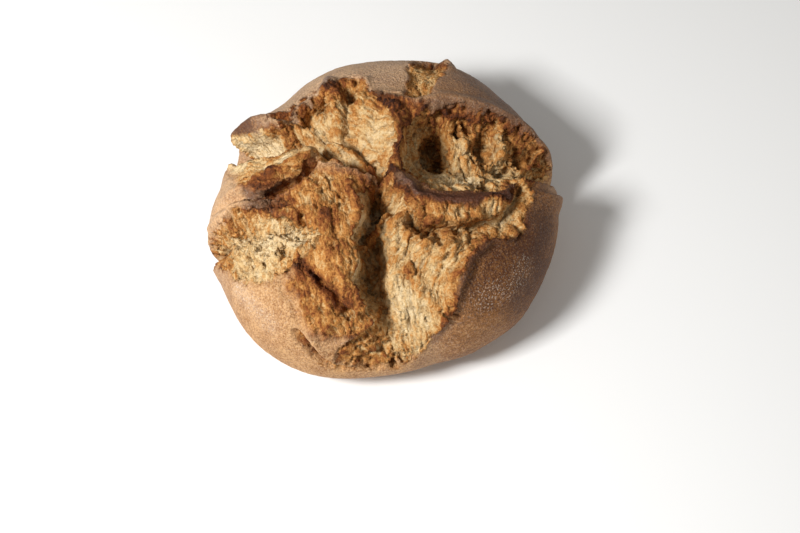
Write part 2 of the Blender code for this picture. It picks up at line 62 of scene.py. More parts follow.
# Each tear has a rim, a floor line with depths along it, how its wall falls (1 is straight), the drop
# of the crust's edge and the half width of a level floor. Then come the finish of its crumb: how much of
# it is pores and strands, how soft its edge is, how toasted it is, and the line that its strands follow.
tears = {
    "valley": dict(
        rim=[(1, -10), (9, -20), (12, -36), (14, -54), (11, -76), (10, -92), (16, -110), (24, -128),
             (24, -150), (8, -152), (-12, -149), (-11, -124), (-9, -114), (-14, -100), (-19, -85),
             (-17, -68), (-17, -52), (-13, -38), (-17, -28), (-11, -18)],
        floor=[(-3, -14), (-5, -32), (-7, -52), (-8, -78), (-5, -100), (3, -122), (8, -146)],
        depth=(26, 38, 42, 42, 36, 20, 6),
        wall=0.9, lip=2, flat=2.5, pores=0.6, strands=0.7, soft=1.5, toast=0.2,
        grain=[(-4, -20), (-6, -60), (-4, -100), (6, -140)]),
    "rightSlope": dict(
        rim=[(2, -14), (20, -30), (34, -44), (60, -50), (66, -58), (60, -66), (53, -78), (50, -90),
             (52, -104), (44, -114), (36, -132), (26, -150), (8, -150), (2, -130), (-6, -100),
             (-10, -70), (-6, -40), (-4, -20)],
        floor=[(2, -20), (4, -50), (2, -80), (5, -104), (14, -126), (18, -146)],
        depth=(24, 24, 22, 19, 11, 3),
        wall=1.2, lip=2.5, flat=0, pores=0.15, strands=1.0, soft=1.5, toast=0.22,
        grain=[(70, -34), (46, -52), (30, -74), (26, -100), (34, -130)]),
    "shelf": dict(
        rim=[(8, -18), (20, -36), (38, -46), (66, -40), (80, -32), (88, -18), (96, -2), (104, -8),
             (101, -30), (97, -47), (88, -52), (72, -55), (58, -62), (40, -66), (22, -60), (10, -44)],
        floor=[(16, -40), (30, -50), (52, -50), (72, -45), (88, -34), (97, -16)],
        depth=(28, 22, 18, 14, 10, 5),
        wall=1.0, lip=2.5, flat=0, pores=0.2, strands=1.0, soft=1.5, toast=0.22,
        grain=[(60, -30), (50, -50), (38, -66)]),
    "crater": dict(
        rim=[(13, 20), (11, 4), (13, -10), (20, -20), (34, -25), (60, -24), (80, -22), (92, -8),
            (108, -3), (122, 1), (138, 10), (158, 23), (158, 42), (134, 42), (114, 46),
            (98, 49), (70, 50), (38, 46), (24, 40)],
        floor=[(34, 18), (50, 14), (70, 14), (98, 16), (118, 16), (134, 22), (156, 32)],
        depth=(34, 30, 28, 28, 22, 20, 20),
        wall=0.9, lip=3, flat=3, pores=1.0, strands=0.45, soft=1.5, toast=0.24,
        grain=[(64, 60), (60, 30), (62, 0)]),
    "backLeft": dict(
        rim=[(-154, 34), (-154, 62), (-134, 62), (-116, 54), (-104, 50), (-96, 47), (-80, 42),
            (-70, 40), (-66, 50), (-62, 60), (-46, 67), (-34, 76), (-16, 82), (-6, 72),
            (-6, 58), (2, 44), (9, 30), (11, 12), (9, -4), (2, -14), (-10, -12), (-26, -6),
            (-40, 0), (-48, 10), (-66, 12), (-84, 13), (-106, 20), (-124, 32)],
        floor=[(-152, 48), (-126, 44), (-104, 34), (-84, 29), (-66, 35), (-54, 30), (-45, 22),
              (-34, 15), (-20, 8), (-10, -1), (-4, -10)],
        depth=(24, 22, 19, 20, 27, 26, 26, 27, 28, 31, 34),
        wall=1.1, lip=2, flat=1, pores=0.25, strands=0.8, soft=1.5, toast=0.27,
        grain=[(-60, 72), (-40, 40), (-16, 14), (4, -8)]),
    "left": dict(
        rim=[(-172, -32), (-150, -31), (-128, -30), (-108, -26), (-88, -23), (-74, -30), (-62, -40),
             (-46, -46), (-32, -56), (-44, -63), (-54, -74), (-70, -78), (-86, -79), (-100, -77),
             (-116, -66), (-134, -55), (-154, -48), (-172, -50)],
        floor=[(-170, -41), (-148, -40), (-124, -42), (-100, -43), (-80, -45), (-58, -49), (-40, -54)],
        depth=(20, 20, 12, 12, 12, 11, 6),
        wall=0.9, lip=2, flat=1, pores=0.3, strands=1.3, soft=1.5, toast=0.2,
        grain=[(-84, -24), (-92, -50), (-88, -80)]),
    "back": dict(
        rim=[(14, 50), (17, 60), (19, 74), (21, 92), (26, 116), (52, 114), (48, 94), (43, 78),
            (38, 64), (33, 54), (26, 48), (16, 47)],
        floor=[(24, 52), (29, 70), (35, 92), (42, 112)],
        depth=(1.5, 2.5, 3, 8),
        wall=0.8, lip=2, flat=0, pores=0, strands=0.55, soft=2, toast=0.36,
        grain=[(14, 60), (26, 90), (36, 116)]),
    "leftSlit": dict(
        rim=[(-94, -20), (-80, -15), (-66, -11), (-54, -5), (-46, 5), (-40, 6), (-39, -2),
            (-52, -13), (-67, -20), (-80, -23)],
        floor=[(-88, -21), (-78, -19), (-66, -15.5), (-54, -9), (-43, 1)],
        depth=(4, 12, 16, 17, 15),
        wall=0.5, lip=1, flat=1, pores=0.2, strands=0.6, soft=2, toast=0.5,
        grain=[(-88, -15), (-62, -8), (-44, 6)]),
    "leftLobeTop": dict(
        rim=[(-44, 0), (-26, -4), (0, -10), (2, -40), (-3, -84), (3, -112), (-4, -130),
            (-30, -128), (-48, -120), (-58, -106), (-60, -94), (-68, -86), (-64, -74),
            (-54, -62), (-62, -50), (-70, -42), (-88, -24), (-82, -19), (-62, -13), (-50, -4)],
        floor=[(-40, -14), (-30, -50), (-32, -90), (-32, -118)],
        depth=(2, 2, 2, 2),
        wall=0.2, lip=1, flat=6, pores=0.25, strands=0.9, soft=9, toast=0.42,
        grain=[(-50, 0), (-36, -40), (-34, -80), (-22, -120)]),
    "leftPlateTop": dict(
        rim=[(-132, 38), (-108, 27), (-84, 20), (-62, 18), (-42, 14), (-40, 0), (-58, -14),
             (-84, -21), (-98, -12), (-106, 2), (-120, 18)],
        floor=[(-118, 24), (-92, 8), (-56, 4)],
        depth=(1.5, 1.5, 1.5),
        wall=0.2, lip=0, flat=6, pores=0.2, strands=0.7, soft=7, toast=0.22,
        grain=[(-120, 14), (-86, 2), (-50, 6)]),
    "craterCrest": dict(
        rim=[(-10, 58), (10, 54), (24, 50), (40, 44), (28, 32), (22, 18), (20, 0), (19, -14),
             (10, -24), (-6, -16), (-2, 4), (-4, 28), (-8, 44)],
        floor=[(6, 48), (12, 30), (10, 0), (7, -12)],
        depth=(1.5, 1.5, 1.5, 1.5),
        wall=0.2, lip=0, flat=6, pores=0.15, strands=0.8, soft=5, toast=0.5,
        grain=[(14, 48), (8, 20), (6, -14)]),
    "craterFrontFace": dict(
        rim=[(10, -21), (18, -28), (30, -33), (46, -34), (64, -31), (82, -23), (88, -30),
             (68, -46), (40, -52), (20, -44), (6, -30)],
        floor=[(16, -34), (38, -43), (64, -38), (80, -30)],
        depth=(1.5, 1.5, 1.5, 1.5),
        wall=0.2, lip=0, flat=5, pores=0.1, strands=0.9, soft=2, toast=0.22,
        grain=[(30, -24), (38, -40), (44, -56)]),
    "craterRightEnd": dict(
        rim=[(82, -24), (92, -2), (112, 4), (108, -8), (101, -16), (98, -30), (88, -28)],
        floor=[(88, -20), (100, -4)],
        depth=(2, 2),
        wall=0.2, lip=0, flat=6, pores=0.8, strands=0.6, soft=4, toast=0.45,
        grain=[(84, -20), (100, -2)]),
    "archSlit": dict(
        rim=[(-80, 48), (-70, 57), (-62, 67), (-50, 75), (-42, 75), (-42, 71), (-50, 71), (-59, 63),
             (-67, 53), (-77, 45)],
        floor=[(-78, 47), (-64, 60), (-50, 73), (-43, 73)],
        depth=(1.5, 3.5, 3.5, 3.5),
        wall=0.5, lip=0.5, flat=0, pores=0, strands=0.5, soft=1, toast=0.42,
        grain=[(-78, 47), (-64, 60), (-50, 73), (-43, 73)]),
    "frontLeftSlit": dict(
        rim=[(-60, -107), (-54, -113), (-49, -123), (-43, -134), (-31, -145), (-21, -152),
            (-24, -156), (-38, -150), (-50, -139), (-57, -126), (-61, -114)],
        floor=[(-58, -112), (-54, -125), (-46, -137), (-32, -149)],
        depth=(6, 10, 9, 4),
        wall=0.7, lip=1, flat=0, pores=0.1, strands=0.8, soft=2.5, toast=0.3,
        grain=[(-56, -120), (-46, -134), (-26, -145)]),
    "valleyFoot": dict(
        rim=[(-8, -116), (-20, -122), (-34, -128), (-38, -136), (-30, -146), (-16, -153), (0, -158),
             (14, -158), (9, -148), (-2, -140), (-6, -128)],
        floor=[(-12, -124), (-22, -134), (-14, -146), (2, -153)],
        depth=(5, 5, 5, 3),
        wall=0.5, lip=1.5, flat=3, pores=1.0, strands=0.5, soft=3, toast=0.24,
        grain=[(-26, -122), (-16, -140), (0, -154)]),
}

# Where the crust hangs over a tear: the torn side is drawn back under it (reach) and sunk (drop).
overhangs = {
    "backLeftArch": dict(path=[(-86, 46), (-64, 58), (-53, 65), (-42, 65), (-36, 72)], reach=6, drop=9,
                         width=15, torn=-1),
    "nose": dict(path=[(-134, 56), (-114, 51), (-94, 46), (-70, 39)], reach=5, drop=7, width=13, torn=-1),
    "craterBack": dict(path=[(14, 32), (24, 40), (38, 43), (70, 47), (98, 47), (116, 44)], reach=4, drop=4,
                       width=17, torn=-1),
    "craterFront": dict(path=[(8, -18), (20, -37), (38, -46), (66, -40), (80, -31)], reach=5, drop=4,
                        width=14, torn=-1),
    "leftBar": dict(path=[(-41, 4), (-53, -4), (-65, -10), (-86, -17)], reach=5, drop=3, width=8, torn=1),
    "leftLobe": dict(path=[(-15, -34), (-17, -52), (-17, -68), (-19, -85), (-13, -102), (-9, -116)],
                     reach=4, drop=3, width=12, torn=1),
}

# Ridges and folds: a path, heights along it, and half widths to its left and right. Creases go down.
ridges = {
    "craterFrontRim": dict(path=[(7, -15), (18, -28), (30, -34), (46, -33), (62, -31), (78, -28), (88, -20)],
                           height=(6, 9, 8, 6, 6, 5, 2), left=7, right=8),
    "craterLeftCrest": dict(path=[(2, 48), (9, 32), (12, 16), (11, 0), (7, -14)], height=(3, 5, 6, 5, 4),
                            left=10, right=16),
    "craterFin": dict(path=[(84, 44), (93, 34), (92, 24)], height=(7, 8, 3), left=5, right=4),
    "craterWallFold": dict(path=[(60, 42), (61, 30), (60, 16)], height=(3, 5, 4), left=5, right=5),
    "craterSwirl": dict(path=[(56, 2), (60, -6), (67, -8), (73, -4), (72, 3), (66, 5)],
                        height=(2, 4, 5, 5, 5, 4), left=3, right=4),
    "craterFloorRise": dict(path=[(70, 18), (84, 12), (100, 6)], height=(4, 6, 4), left=6, right=9),
    "leafFold": dict(path=[(-46, 22), (-32, 23), (-19, 16), (-9, 3)], height=(5, 11, 11, 6), left=7,
                     right=9),
    "leafBackCrease": dict(path=[(-44, 37), (-32, 33), (-22, 28), (-14, 21), (-7, 10), (-2, 0)],
                           height=(-3, -5, -6, -7, -7, -3), left=4, right=3),
    "leafFrontCrease": dict(path=[(-45, 13), (-36, 5), (-24, -1), (-12, -2)], height=(-4, -6, -6, -4),
                            left=4, right=3),
    "leftPlateCrest": dict(path=[(-112, -10), (-86, -11), (-66, -5), (-48, 5)], height=(1, 6, 8, 6), left=11,
                           right=5),
    "backLeftButtress": dict(path=[(-36, 84), (-33, 72), (-30, 56), (-27, 38)], height=(2, 9, 11, 6), left=7,
                             right=11),
    "curtain": dict(path=[(-9, 72), (-12, 60), (-15, 46)], height=(4, 6, 3), left=7, right=3),
    "noseEdge": dict(path=[(-74, 42), (-78, 34), (-86, 26)], height=(5, 7, 3), left=3, right=9),
    "nose": dict(path=[(-114, 51), (-100, 52), (-84, 47), (-73, 42)], height=(6, 6, 7, 6), left=13, right=4),
    "leftCrest": dict(path=[(-130, -26), (-106, -22), (-84, -22), (-70, -33), (-54, -43)],
                      height=(2, 3, 4, 4, 4), left=7, right=6),
    "centreLeftLobe": dict(path=[(-44, -26), (-34, -50), (-28, -70), (-26, -86)], height=(2, 6, 7, 5),
                           left=14, right=20),
    "frontLeftLump": dict(path=[(-44, -96), (-40, -114)], height=(5, 4), left=13, right=15),
    "lobeCrease": dict(path=[(-52, -66), (-44, -77), (-32, -89), (-26, -102)], height=(-4, -8, -9, -7),
                       left=4, right=5),
    "bandCrease": dict(path=[(-116, -40), (-100, -42), (-84, -46), (-66, -49), (-52, -53), (-40, -60)],
                       height=(-2, -3, -4, -4, -4, -2), left=5, right=3),
    "bandSwell": dict(path=[(-112, -54), (-92, -57), (-76, -60)], height=(3, 5, 3), left=9, right=11),
    "sheet": dict(path=[(-32, -6), (-18, -11), (-6, -14), (4, -20)], height=(2, 4, 6, 5), left=3, right=6),
    "sheetEdge": dict(path=[(-22, -18), (-18, -32), (-16, -46)], height=(2, 4, 3), left=6, right=2),
    "plateCrease": dict(path=[(-124, -17), (-102, -17), (-86, -17)], height=(-1, -3, -4), left=4, right=6),
    "bridge": dict(path=[(3, -36), (-7, -48), (-13, -64)], height=(13, 16, 7), left=4, right=5),
    "slopeLip": dict(path=[(99, -28), (92, -50), (66, -58), (54, -76), (50, -100), (38, -124)],
                     height=(3, 3, 4, 5, 4, 2), left=3, right=10),
    "slopeFold": dict(path=[(60, -38), (59, -49), (48, -62), (46, -74)], height=(4, 5, 4, 2), left=3,
                      right=5),
    "slopeFoldTwo": dict(path=[(52, -42), (48, -54), (40, -69), (38, -80)], height=(4, 5, 3, 1), left=3,
                         right=5),
    "slopeStep": dict(path=[(23, -70), (16, -79), (24, -91), (32, -101), (43, -105)], height=(2, 4, 4, 4, 3),
                      left=10, right=3),
    "tongue": dict(path=[(9, -26), (8, -43), (7, -62)], height=(4, 5, 3), left=6, right=4),
    "backLip": dict(path=[(0, 52), (24, 46), (56, 50), (84, 52), (108, 49)], height=(3, 4, 4, 4, 2),
                    left=13, right=3),
    "rightTip": dict(path=[(98, -16), (112, -12), (127, -5), (144, 5), (154, 13)], height=(3, 4, 5, 4, 2),
                     left=3, right=15),
    "slitLip": dict(path=[(-50, -112), (-44, -126), (-36, -138), (-24, -148)], height=(2, 3, 3, 1), left=5,
                    right=3),
    "footLump": dict(path=[(-30, -134), (-18, -142)], height=(3, 2), left=6, right=6),
    "backTips": dict(path=[(50, 96), (52, 118)], height=(2, 5), left=6, right=6),
}

# Burst bubbles: a place, a radius along X and Y, a depth, and how far out the bottom stays level.
pits = {
    "centreHollow": dict(at=(-5, -12), radius=(12, 12), depth=6),
    "sheetHollow": dict(at=(-9, -22), radius=(7, 7), depth=9),
    "craterBigHole": dict(at=(40, 27), radius=(11, 15), depth=22, steep=0.6),
    "craterMiddleHole": dict(at=(76, 32), radius=(8, 9), depth=14, steep=0.6),
    "craterUpperHole": dict(at=(58, 38), radius=(4, 6), depth=6),
    "craterRightHole": dict(at=(98, 20), radius=(14, 7), depth=15),
    "craterBorderHollow": dict(at=(116, 36), radius=(13, 8), depth=14, steep=0.5),
    "buttressHollow": dict(at=(-18, 64), radius=(9, 11), depth=13),
    "noseHollow": dict(at=(-64, 37), radius=(8, 10), depth=9),
    "darkHollow": dict(at=(-70, -26), radius=(15, 6), depth=6),
    "noseNotch": dict(at=(-136, 60), radius=(26, 15), depth=20),
    "rightNotch": dict(at=(153, 33), radius=(12, 9), depth=9),
    "lobeHollow": dict(at=(-50, -42), radius=(5, 8), depth=5),
    "leftHole": dict(at=(-67, -60), radius=(5, 8), depth=10),
    "frontLeftPit": dict(at=(-24, -106), radius=(8, 7), depth=8),
    "slopeNotch": dict(at=(93, -46), radius=(3, 6), depth=6),
    "slopeGap": dict(at=(50, -108), radius=(8, 3), depth=6),
    "footPit": dict(at=(-8, -134), radius=(6, 5), depth=5),
    "archHollow": dict(at=(-56, 52), radius=(12, 7), depth=6),
}

# Small burst bubbles: places and radii.
smallHoles = [(-90, -65, 2.2), (-80, -68, 2.2), (-71, -72, 2.4), (-62, -74, 2.2), (-12, -110, 3.0),
              (-100, -45, 2.2), (-76, -47, 2.4), (-60, -52, 2.2), (-50, -55, 2.0), (22, -74, 2.2),
              (28, -40, 2.6), (40, -47, 3.0), (34, -52, 2.2), (-48, -46, 2.4), (-30, -62, 2.4),
              (48, 32, 3.0), (82, 28, 3.0), (108, 24, 3.2), (118, 32, 3.0), (128, 28, 3.0), (92, 36, 2.6),
              (110, 38, 2.6), (30, 38, 2.4), (38, 40, 2.0), (64, 41, 2.4), (76, 38, 2.6)]

# Where the oven caught the loaf most: a path, its half width, and how burnt from 0 to 1. In three hollows
# (darkHollow, lobeHollow, leftHole) the strokes paint shade instead of burning.
burnsAndHollowShade = {
    "craterFrontRim": dict(path=[(4, -12), (12, -22), (28, -31), (46, -31), (62, -29), (78, -26), (88, -20)],
                           width=6, burnAndShade=0.9),
    "craterFrontBurn": dict(path=[(4, -13), (12, -24), (20, -31)], width=5, burnAndShade=1.0),
    "craterFrontFace": dict(path=[(14, -32), (26, -41), (44, -44), (66, -39), (80, -31)], width=6, burnAndShade=0.1),
    "craterLeftRim": dict(path=[(16, 26), (13, 10), (12, -6)], width=5, burnAndShade=0.45),
    "backLip": dict(path=[(0, 46), (24, 42), (56, 46), (84, 48), (108, 45), (132, 38)], width=6, burnAndShade=0.45),
    "craterBand": dict(path=[(26, 36), (50, 41), (76, 42), (100, 40)], width=8, burnAndShade=0.25),
    "craterRight": dict(path=[(100, 34), (114, 35), (130, 35)], width=12, burnAndShade=0.6),
    "craterLump": dict(path=[(6, 42), (14, 32)], width=13, burnAndShade=0.4),
    "buttressPeak": dict(path=[(-36, 80), (-33, 68)], width=6, burnAndShade=0.8),
    "buttressEdge": dict(path=[(-32, 68), (-29, 48)], width=4, burnAndShade=0.3),
    "arch": dict(path=[(-84, 46), (-64, 58), (-53, 65), (-42, 64), (-40, 56)], width=4, burnAndShade=0.25),
    "archSlit": dict(path=[(-78, 47), (-64, 60), (-50, 73), (-43, 73)], width=4, burnAndShade=0.1),
    "noseEdge": dict(path=[(-84, 42), (-75, 40), (-76, 36), (-80, 30)], width=3, burnAndShade=0.5),
    "noseTip": dict(path=[(-118, 56), (-104, 52), (-92, 48)], width=3, burnAndShade=0.45),
    "leftBar": dict(path=[(-88, -15), (-78, -11), (-64, -5), (-48, 3)], width=7, burnAndShade=0.8),
    # painted shade: dark brown laid into the hollow below the left bar
    "darkHollow": dict(path=[(-82, -24), (-70, -26), (-58, -29)], width=7, burnAndShade=0.75),
    "leftCrest": dict(path=[(-88, -24), (-72, -32), (-60, -42), (-50, -46)], width=4, burnAndShade=0.35),
    # painted shade: darker crumb in the small lobe hollow
    "lobeHollow": dict(path=[(-54, -36), (-50, -48)], width=5, burnAndShade=0.4),
    "lobeRight": dict(path=[(-32, -46), (-27, -62), (-27, -78), (-20, -96)], width=14, burnAndShade=0.6),
    "lobeCrease": dict(path=[(-54, -68), (-44, -77), (-34, -88), (-26, -102)], width=6, burnAndShade=0.75),
    # painted shade: darker crumb in the left hole
    "leftHole": dict(path=[(-67, -56), (-66, -63)], width=6, burnAndShade=0.5),
    "slopeLip": dict(path=[(99, -24), (90, -48), (66, -56), (56, -72), (51, -90), (52, -104)], width=5,
                     burnAndShade=0.2),
    "slopeStep": dict(path=[(23, -68), (15, -79), (22, -91), (30, -100)], width=3.5, burnAndShade=0.25),
    "slopeFoot": dict(path=[(46, -116), (38, -128)], width=8, burnAndShade=0.4),
    "rightEdge": dict(path=[(88, -10), (98, -20), (100, -40)], width=6, burnAndShade=0.4),
    "leafFold": dict(path=[(-20, 20), (-12, 10), (-5, 0)], width=3.5, burnAndShade=0.5),
    "sheet": dict(path=[(-30, -8), (-10, -15), (4, -21)], width=4, burnAndShade=0.25),
    "bridge": dict(path=[(3, -36), (-7, -48), (-13, -64)], width=5, burnAndShade=0.35),
    "frontLeft": dict(path=[(-46, -114), (-30, -122), (-16, -124)], width=6, burnAndShade=0.2),
}

# Where the torn crumb stayed pale: a path, its half width, and by how much.
paleCrumb = {
    "noseFace": dict(path=[(-120, 48), (-100, 43), (-84, 37)], width=10, pale=0.5),
    "outerPlate": dict(path=[(-126, 30), (-106, 22), (-90, 18)], width=12, pale=0.15),
    "bandMiddle": dict(path=[(-126, -42), (-100, -44), (-78, -48), (-56, -54)], width=7, pale=0.2),
    "craterFloor": dict(path=[(44, 6), (64, 2), (84, 2)], width=10, pale=0.15),
    "craterWall": dict(path=[(60, 34), (62, 20)], width=9, pale=0.2),
    "slopeFoot": dict(path=[(4, -60), (6, -90), (16, -120)], width=12, pale=0.12),
    "curtain": dict(path=[(-11, 66), (-14, 52)], width=4, pale=0.2),
}

# Tints of the whole crust: a place or a path, a radius, how dark a brown, how floury and how flecked. The
# flour colour and its flecks also paint glints and highlights where the lamps catch the crust.
crustPatches = {
    "right": dict(at=(96, -62), radius=66, brown=0.95, flourAndHighlight=0, flecksAndGlints=0.2),
    # painted glints: dense pale flecks stand in for the right light's highlights on this crust
    "rightShine": dict(at=[(100, -70), (90, -84), (72, -94)], radius=10, brown=0.85, flourAndHighlight=0.05, flecksAndGlints=1.0),
    "backRight": dict(at=(88, 82), radius=56, brown=0.74, flourAndHighlight=0.3, flecksAndGlints=0.3),
    "back": dict(at=(-10, 112), radius=58, brown=0.3, flourAndHighlight=0.85, flecksAndGlints=0.4),
    "backLeft": dict(at=(-84, 86), radius=50, brown=0.2, flourAndHighlight=0.75, flecksAndGlints=0.4),
    "nose": dict(at=(-98, 57), radius=17, brown=0.95, flourAndHighlight=0.1, flecksAndGlints=0.1),
    "left": dict(at=(-118, -8), radius=34, brown=0.1, flourAndHighlight=0.4, flecksAndGlints=0.4),
    "frontLeft": dict(at=(-84, -104), radius=52, brown=0.2, flourAndHighlight=0.1, flecksAndGlints=0.3),
    # painted highlight: a whitish streak of flour colour where the key light's reflection lies
    "frontLeftHighlight": dict(at=[(-104, -78), (-92, -92), (-80, -108)], radius=9, brown=0.15, flourAndHighlight=0.6,
                            flecksAndGlints=1.0),
    "frontRightLow": dict(at=(84, -136), radius=38, brown=0.52, flourAndHighlight=0, flecksAndGlints=0.3),
    "frontLow": dict(at=[(-110, -112), (-60, -150), (10, -165)], radius=24, brown=0.24, flourAndHighlight=0, flecksAndGlints=0.2),
    "craterRim": dict(at=(50, -32), radius=34, brown=0.95, flourAndHighlight=0.05, flecksAndGlints=0.1),
}

plainCrust = {"brown": 0.35, "flourAndHighlight": 0.3, "flecksAndGlints": 0.3}     # where no patch reaches


def valueNoise(points, cell, seed):
    # Random heights on a square lattice, blended smoothly between its corners.
    table = np.random.default_rng(seed).uniform(-1, 1, (64, 64))
    place = points / cell
    corner = np.floor(place).astype(int)
    part = place - corner
    part = part * part * (3 - 2 * part)
    i, j = corner[:, 0], corner[:, 1]
    near = table[i % 64, j % 64] * (1 - part[:, 0]) + table[(i + 1) % 64, j % 64] * part[:, 0]
    far = table[i % 64, (j + 1) % 64] * (1 - part[:, 0]) + table[(i + 1) % 64, (j + 1) % 64] * part[:, 0]
    return near * (1 - part[:, 1]) + far * part[:, 1]


def rounded(path, closed=False, rounds=2):
    # Cuts the corners of a path, so that a few points make a smooth line.
    points = np.array(path, float)
    for _ in range(rounds):
        ahead = np.roll(points, -1, axis=0) if closed else points[1:]
        here = points if closed else points[:-1]
        cut = np.stack([here * 0.75 + ahead * 0.25, here * 0.25 + ahead * 0.75], axis=1).reshape(-1, 2)
        points = cut if closed else np.vstack([points[:1], cut, points[-1:]])
    return points


def nearestOn(points, path):
    # For each point: its distance to the path, how far along the path that is (0 to 1), and its side.
    steps = np.diff(path, axis=0)
    lengths = np.hypot(*steps.T)
    starts = np.concatenate([[0], np.cumsum(lengths)])
    best = np.full(len(points), np.inf)
    along = np.zeros(len(points))
    side = np.ones(len(points))
    for start, step, length, before in zip(path[:-1], steps, lengths, starts):
        offset = points - start
        share = np.clip(offset @ step / length**2, 0, 1)
        gap = np.hypot(*(offset - share[:, None] * step).T)
        closer = gap < best
        best[closer] = gap[closer]
        along[closer] = ((before + share * length) / starts[-1])[closer]
        side[closer] = np.sign(step[0] * offset[:, 1] - step[1] * offset[:, 0])[closer]
    return best, along, side


def inside(points, outline):
    # Counts how often a line to the right of each point crosses the outline.
    crossings = np.zeros(len(points), int)
    for (x0, y0), (x1, y1) in zip(outline, np.roll(outline, -1, axis=0)):
        spans = (y0 > points[:, 1]) != (y1 > points[:, 1])
        with np.errstate(divide="ignore", invalid="ignore"):
            crossX = x0 + (points[:, 1] - y0) * (x1 - x0) / (y1 - y0)
        crossings += spans & (points[:, 0] < crossX)
    return crossings % 2 == 1


def eased(value, low, high):
    share = np.clip((value - low) / (high - low), 0, 1)
    return share * share * (3 - 2 * share)


def spread(values, along):
    # A size that changes along a path, given at evenly spaced places.
    return np.interp(along, np.linspace(0, 1, len(values)), values)


def spreadPath(path, along):
    lengths = np.concatenate([[0], np.cumsum(np.hypot(*np.diff(path, axis=0).T))])
    return np.stack([np.interp(along * lengths[-1], lengths, path[:, axis]) for axis in (0, 1)], axis=1)


def tearShape(points, tear):
    # Depth of a tear, and the distance inwards from its rim.
    rim = rounded(tear["rim"], closed=True)
    toRim = nearestOn(points, np.vstack([rim, rim[:1]]))[0]
    floor = rounded(tear["floor"])
    toFloor, along = nearestOn(points, floor)[:2]
    rise = np.maximum(toFloor - tear["flat"], 0)
    rise = rise / (rise + toRim + 1e-6)
    depth = spread(tear["depth"], along) * (1 - rise) ** tear["wall"]
    depth += tear["lip"] * eased(toRim, 0, 2.5)
    within = inside(points, rim)
    return np.where(within, depth, 0), np.where(within, toRim, -toRim)


def alongGrain(points, path):
    # Millimetres along the line that the strands follow, and across it.
    line = rounded(path)
    start, end = line[0] - line[1], line[-1] - line[-2]
    line = np.vstack([line[0] + start / np.hypot(*start) * 120, line, line[-1] + end / np.hypot(*end) * 120])
    gap, along, side = nearestOn(points, line)
    return np.stack([along * np.hypot(*np.diff(line, axis=0).T).sum(), gap * side], axis=1)


def ridgeHeight(points, ridge):
    gap, along, side = nearestOn(points, rounded(ridge["path"]))
    width = np.where(side > 0, ridge["left"], ridge["right"])
    return spread(ridge["height"], along) * (1 - eased(gap / width, 0, 1))


def pitDepth(points, pit):
    reach = np.hypot(*((points - pit["at"]) / pit["radius"]).T)
    return pit["depth"] * (1 - eased(reach, pit.get("steep", 0.35), 1))


def tuckUnder(points, overhang):
    # How far the torn side sinks, and how far it is drawn back over the map under the crust's edge.
    path = rounded(overhang["path"])
    gap, along, side = nearestOn(points, path)
    share = gap / overhang["width"]
    strength = eased(share, 0, 0.25) * (1 - eased(share, 0.35, 1))
    strength *= eased(along, 0, 0.15) * (1 - eased(along, 0.85, 1)) * (side == overhang["torn"])
    ahead = spreadPath(path, np.clip(along + 0.02, 0, 1)) - spreadPath(path, np.clip(along - 0.02, 0, 1))
    ahead /= np.hypot(*ahead.T)[:, None] + 1e-9
    leftwards = np.stack([-ahead[:, 1], ahead[:, 0]], axis=1)
    return (overhang["drop"] * strength,
            -overhang["torn"] * overhang["reach"] * leftwards * strength[:, None])


def domeProfile(polar, radius):
    upper = polar < math.pi / 2
    rise = np.where(upper, domeSizes["height"] - domeSizes["girthHeight"], domeSizes["girthHeight"] * 1.25)
    power = np.where(upper, domeSizes["upperRoundness"], domeSizes["lowerRoundness"])
    return (np.abs(np.sin(polar) / radius) ** power + np.abs(np.cos(polar) / rise) ** power) ** (-1 / power)


def dome(polar, azimuth):
    # A point of the loaf before it burst: polar angle from the top, and azimuth.
    radius = np.full_like(azimuth, domeSizes["girthRadius"])
    for middle, width, push in domeSizes["girthBulges"]:
        turn = (np.degrees(azimuth) - middle + 180) % 360 - 180
        radius += push * mm * np.exp(-((turn / width) ** 2))
    reach = domeProfile(polar, radius)
    level = domeSizes["girthHeight"] + reach * np.cos(polar)
    return np.stack([reach * np.sin(polar) * np.cos(azimuth),
                     reach * np.sin(polar) * np.sin(azimuth),
                     np.maximum(level, 0)], axis=1)


def overCrust(polar):
    # Millimetres over the crust from the top, for a polar angle.
    angles = np.linspace(0, math.pi, 2000)
    reach = domeProfile(angles, domeSizes["girthRadius"])
    steps = np.hypot(np.diff(reach * np.sin(angles)), np.diff(reach * np.cos(angles)))
    return np.interp(polar, angles, np.concatenate([[0], np.cumsum(steps)]) / mm)


def strokes(points, lines, amount):
    # How much of something lies on each point: all of it along each line, and none past its half width.
    total = np.zeros(len(points))
    for line in lines.values():
        gap = nearestOn(points, rounded(line["path"]))[0]
        total = np.maximum(total, line[amount] * (1 - eased(gap / line["width"], 0.2, 1)))
    return total


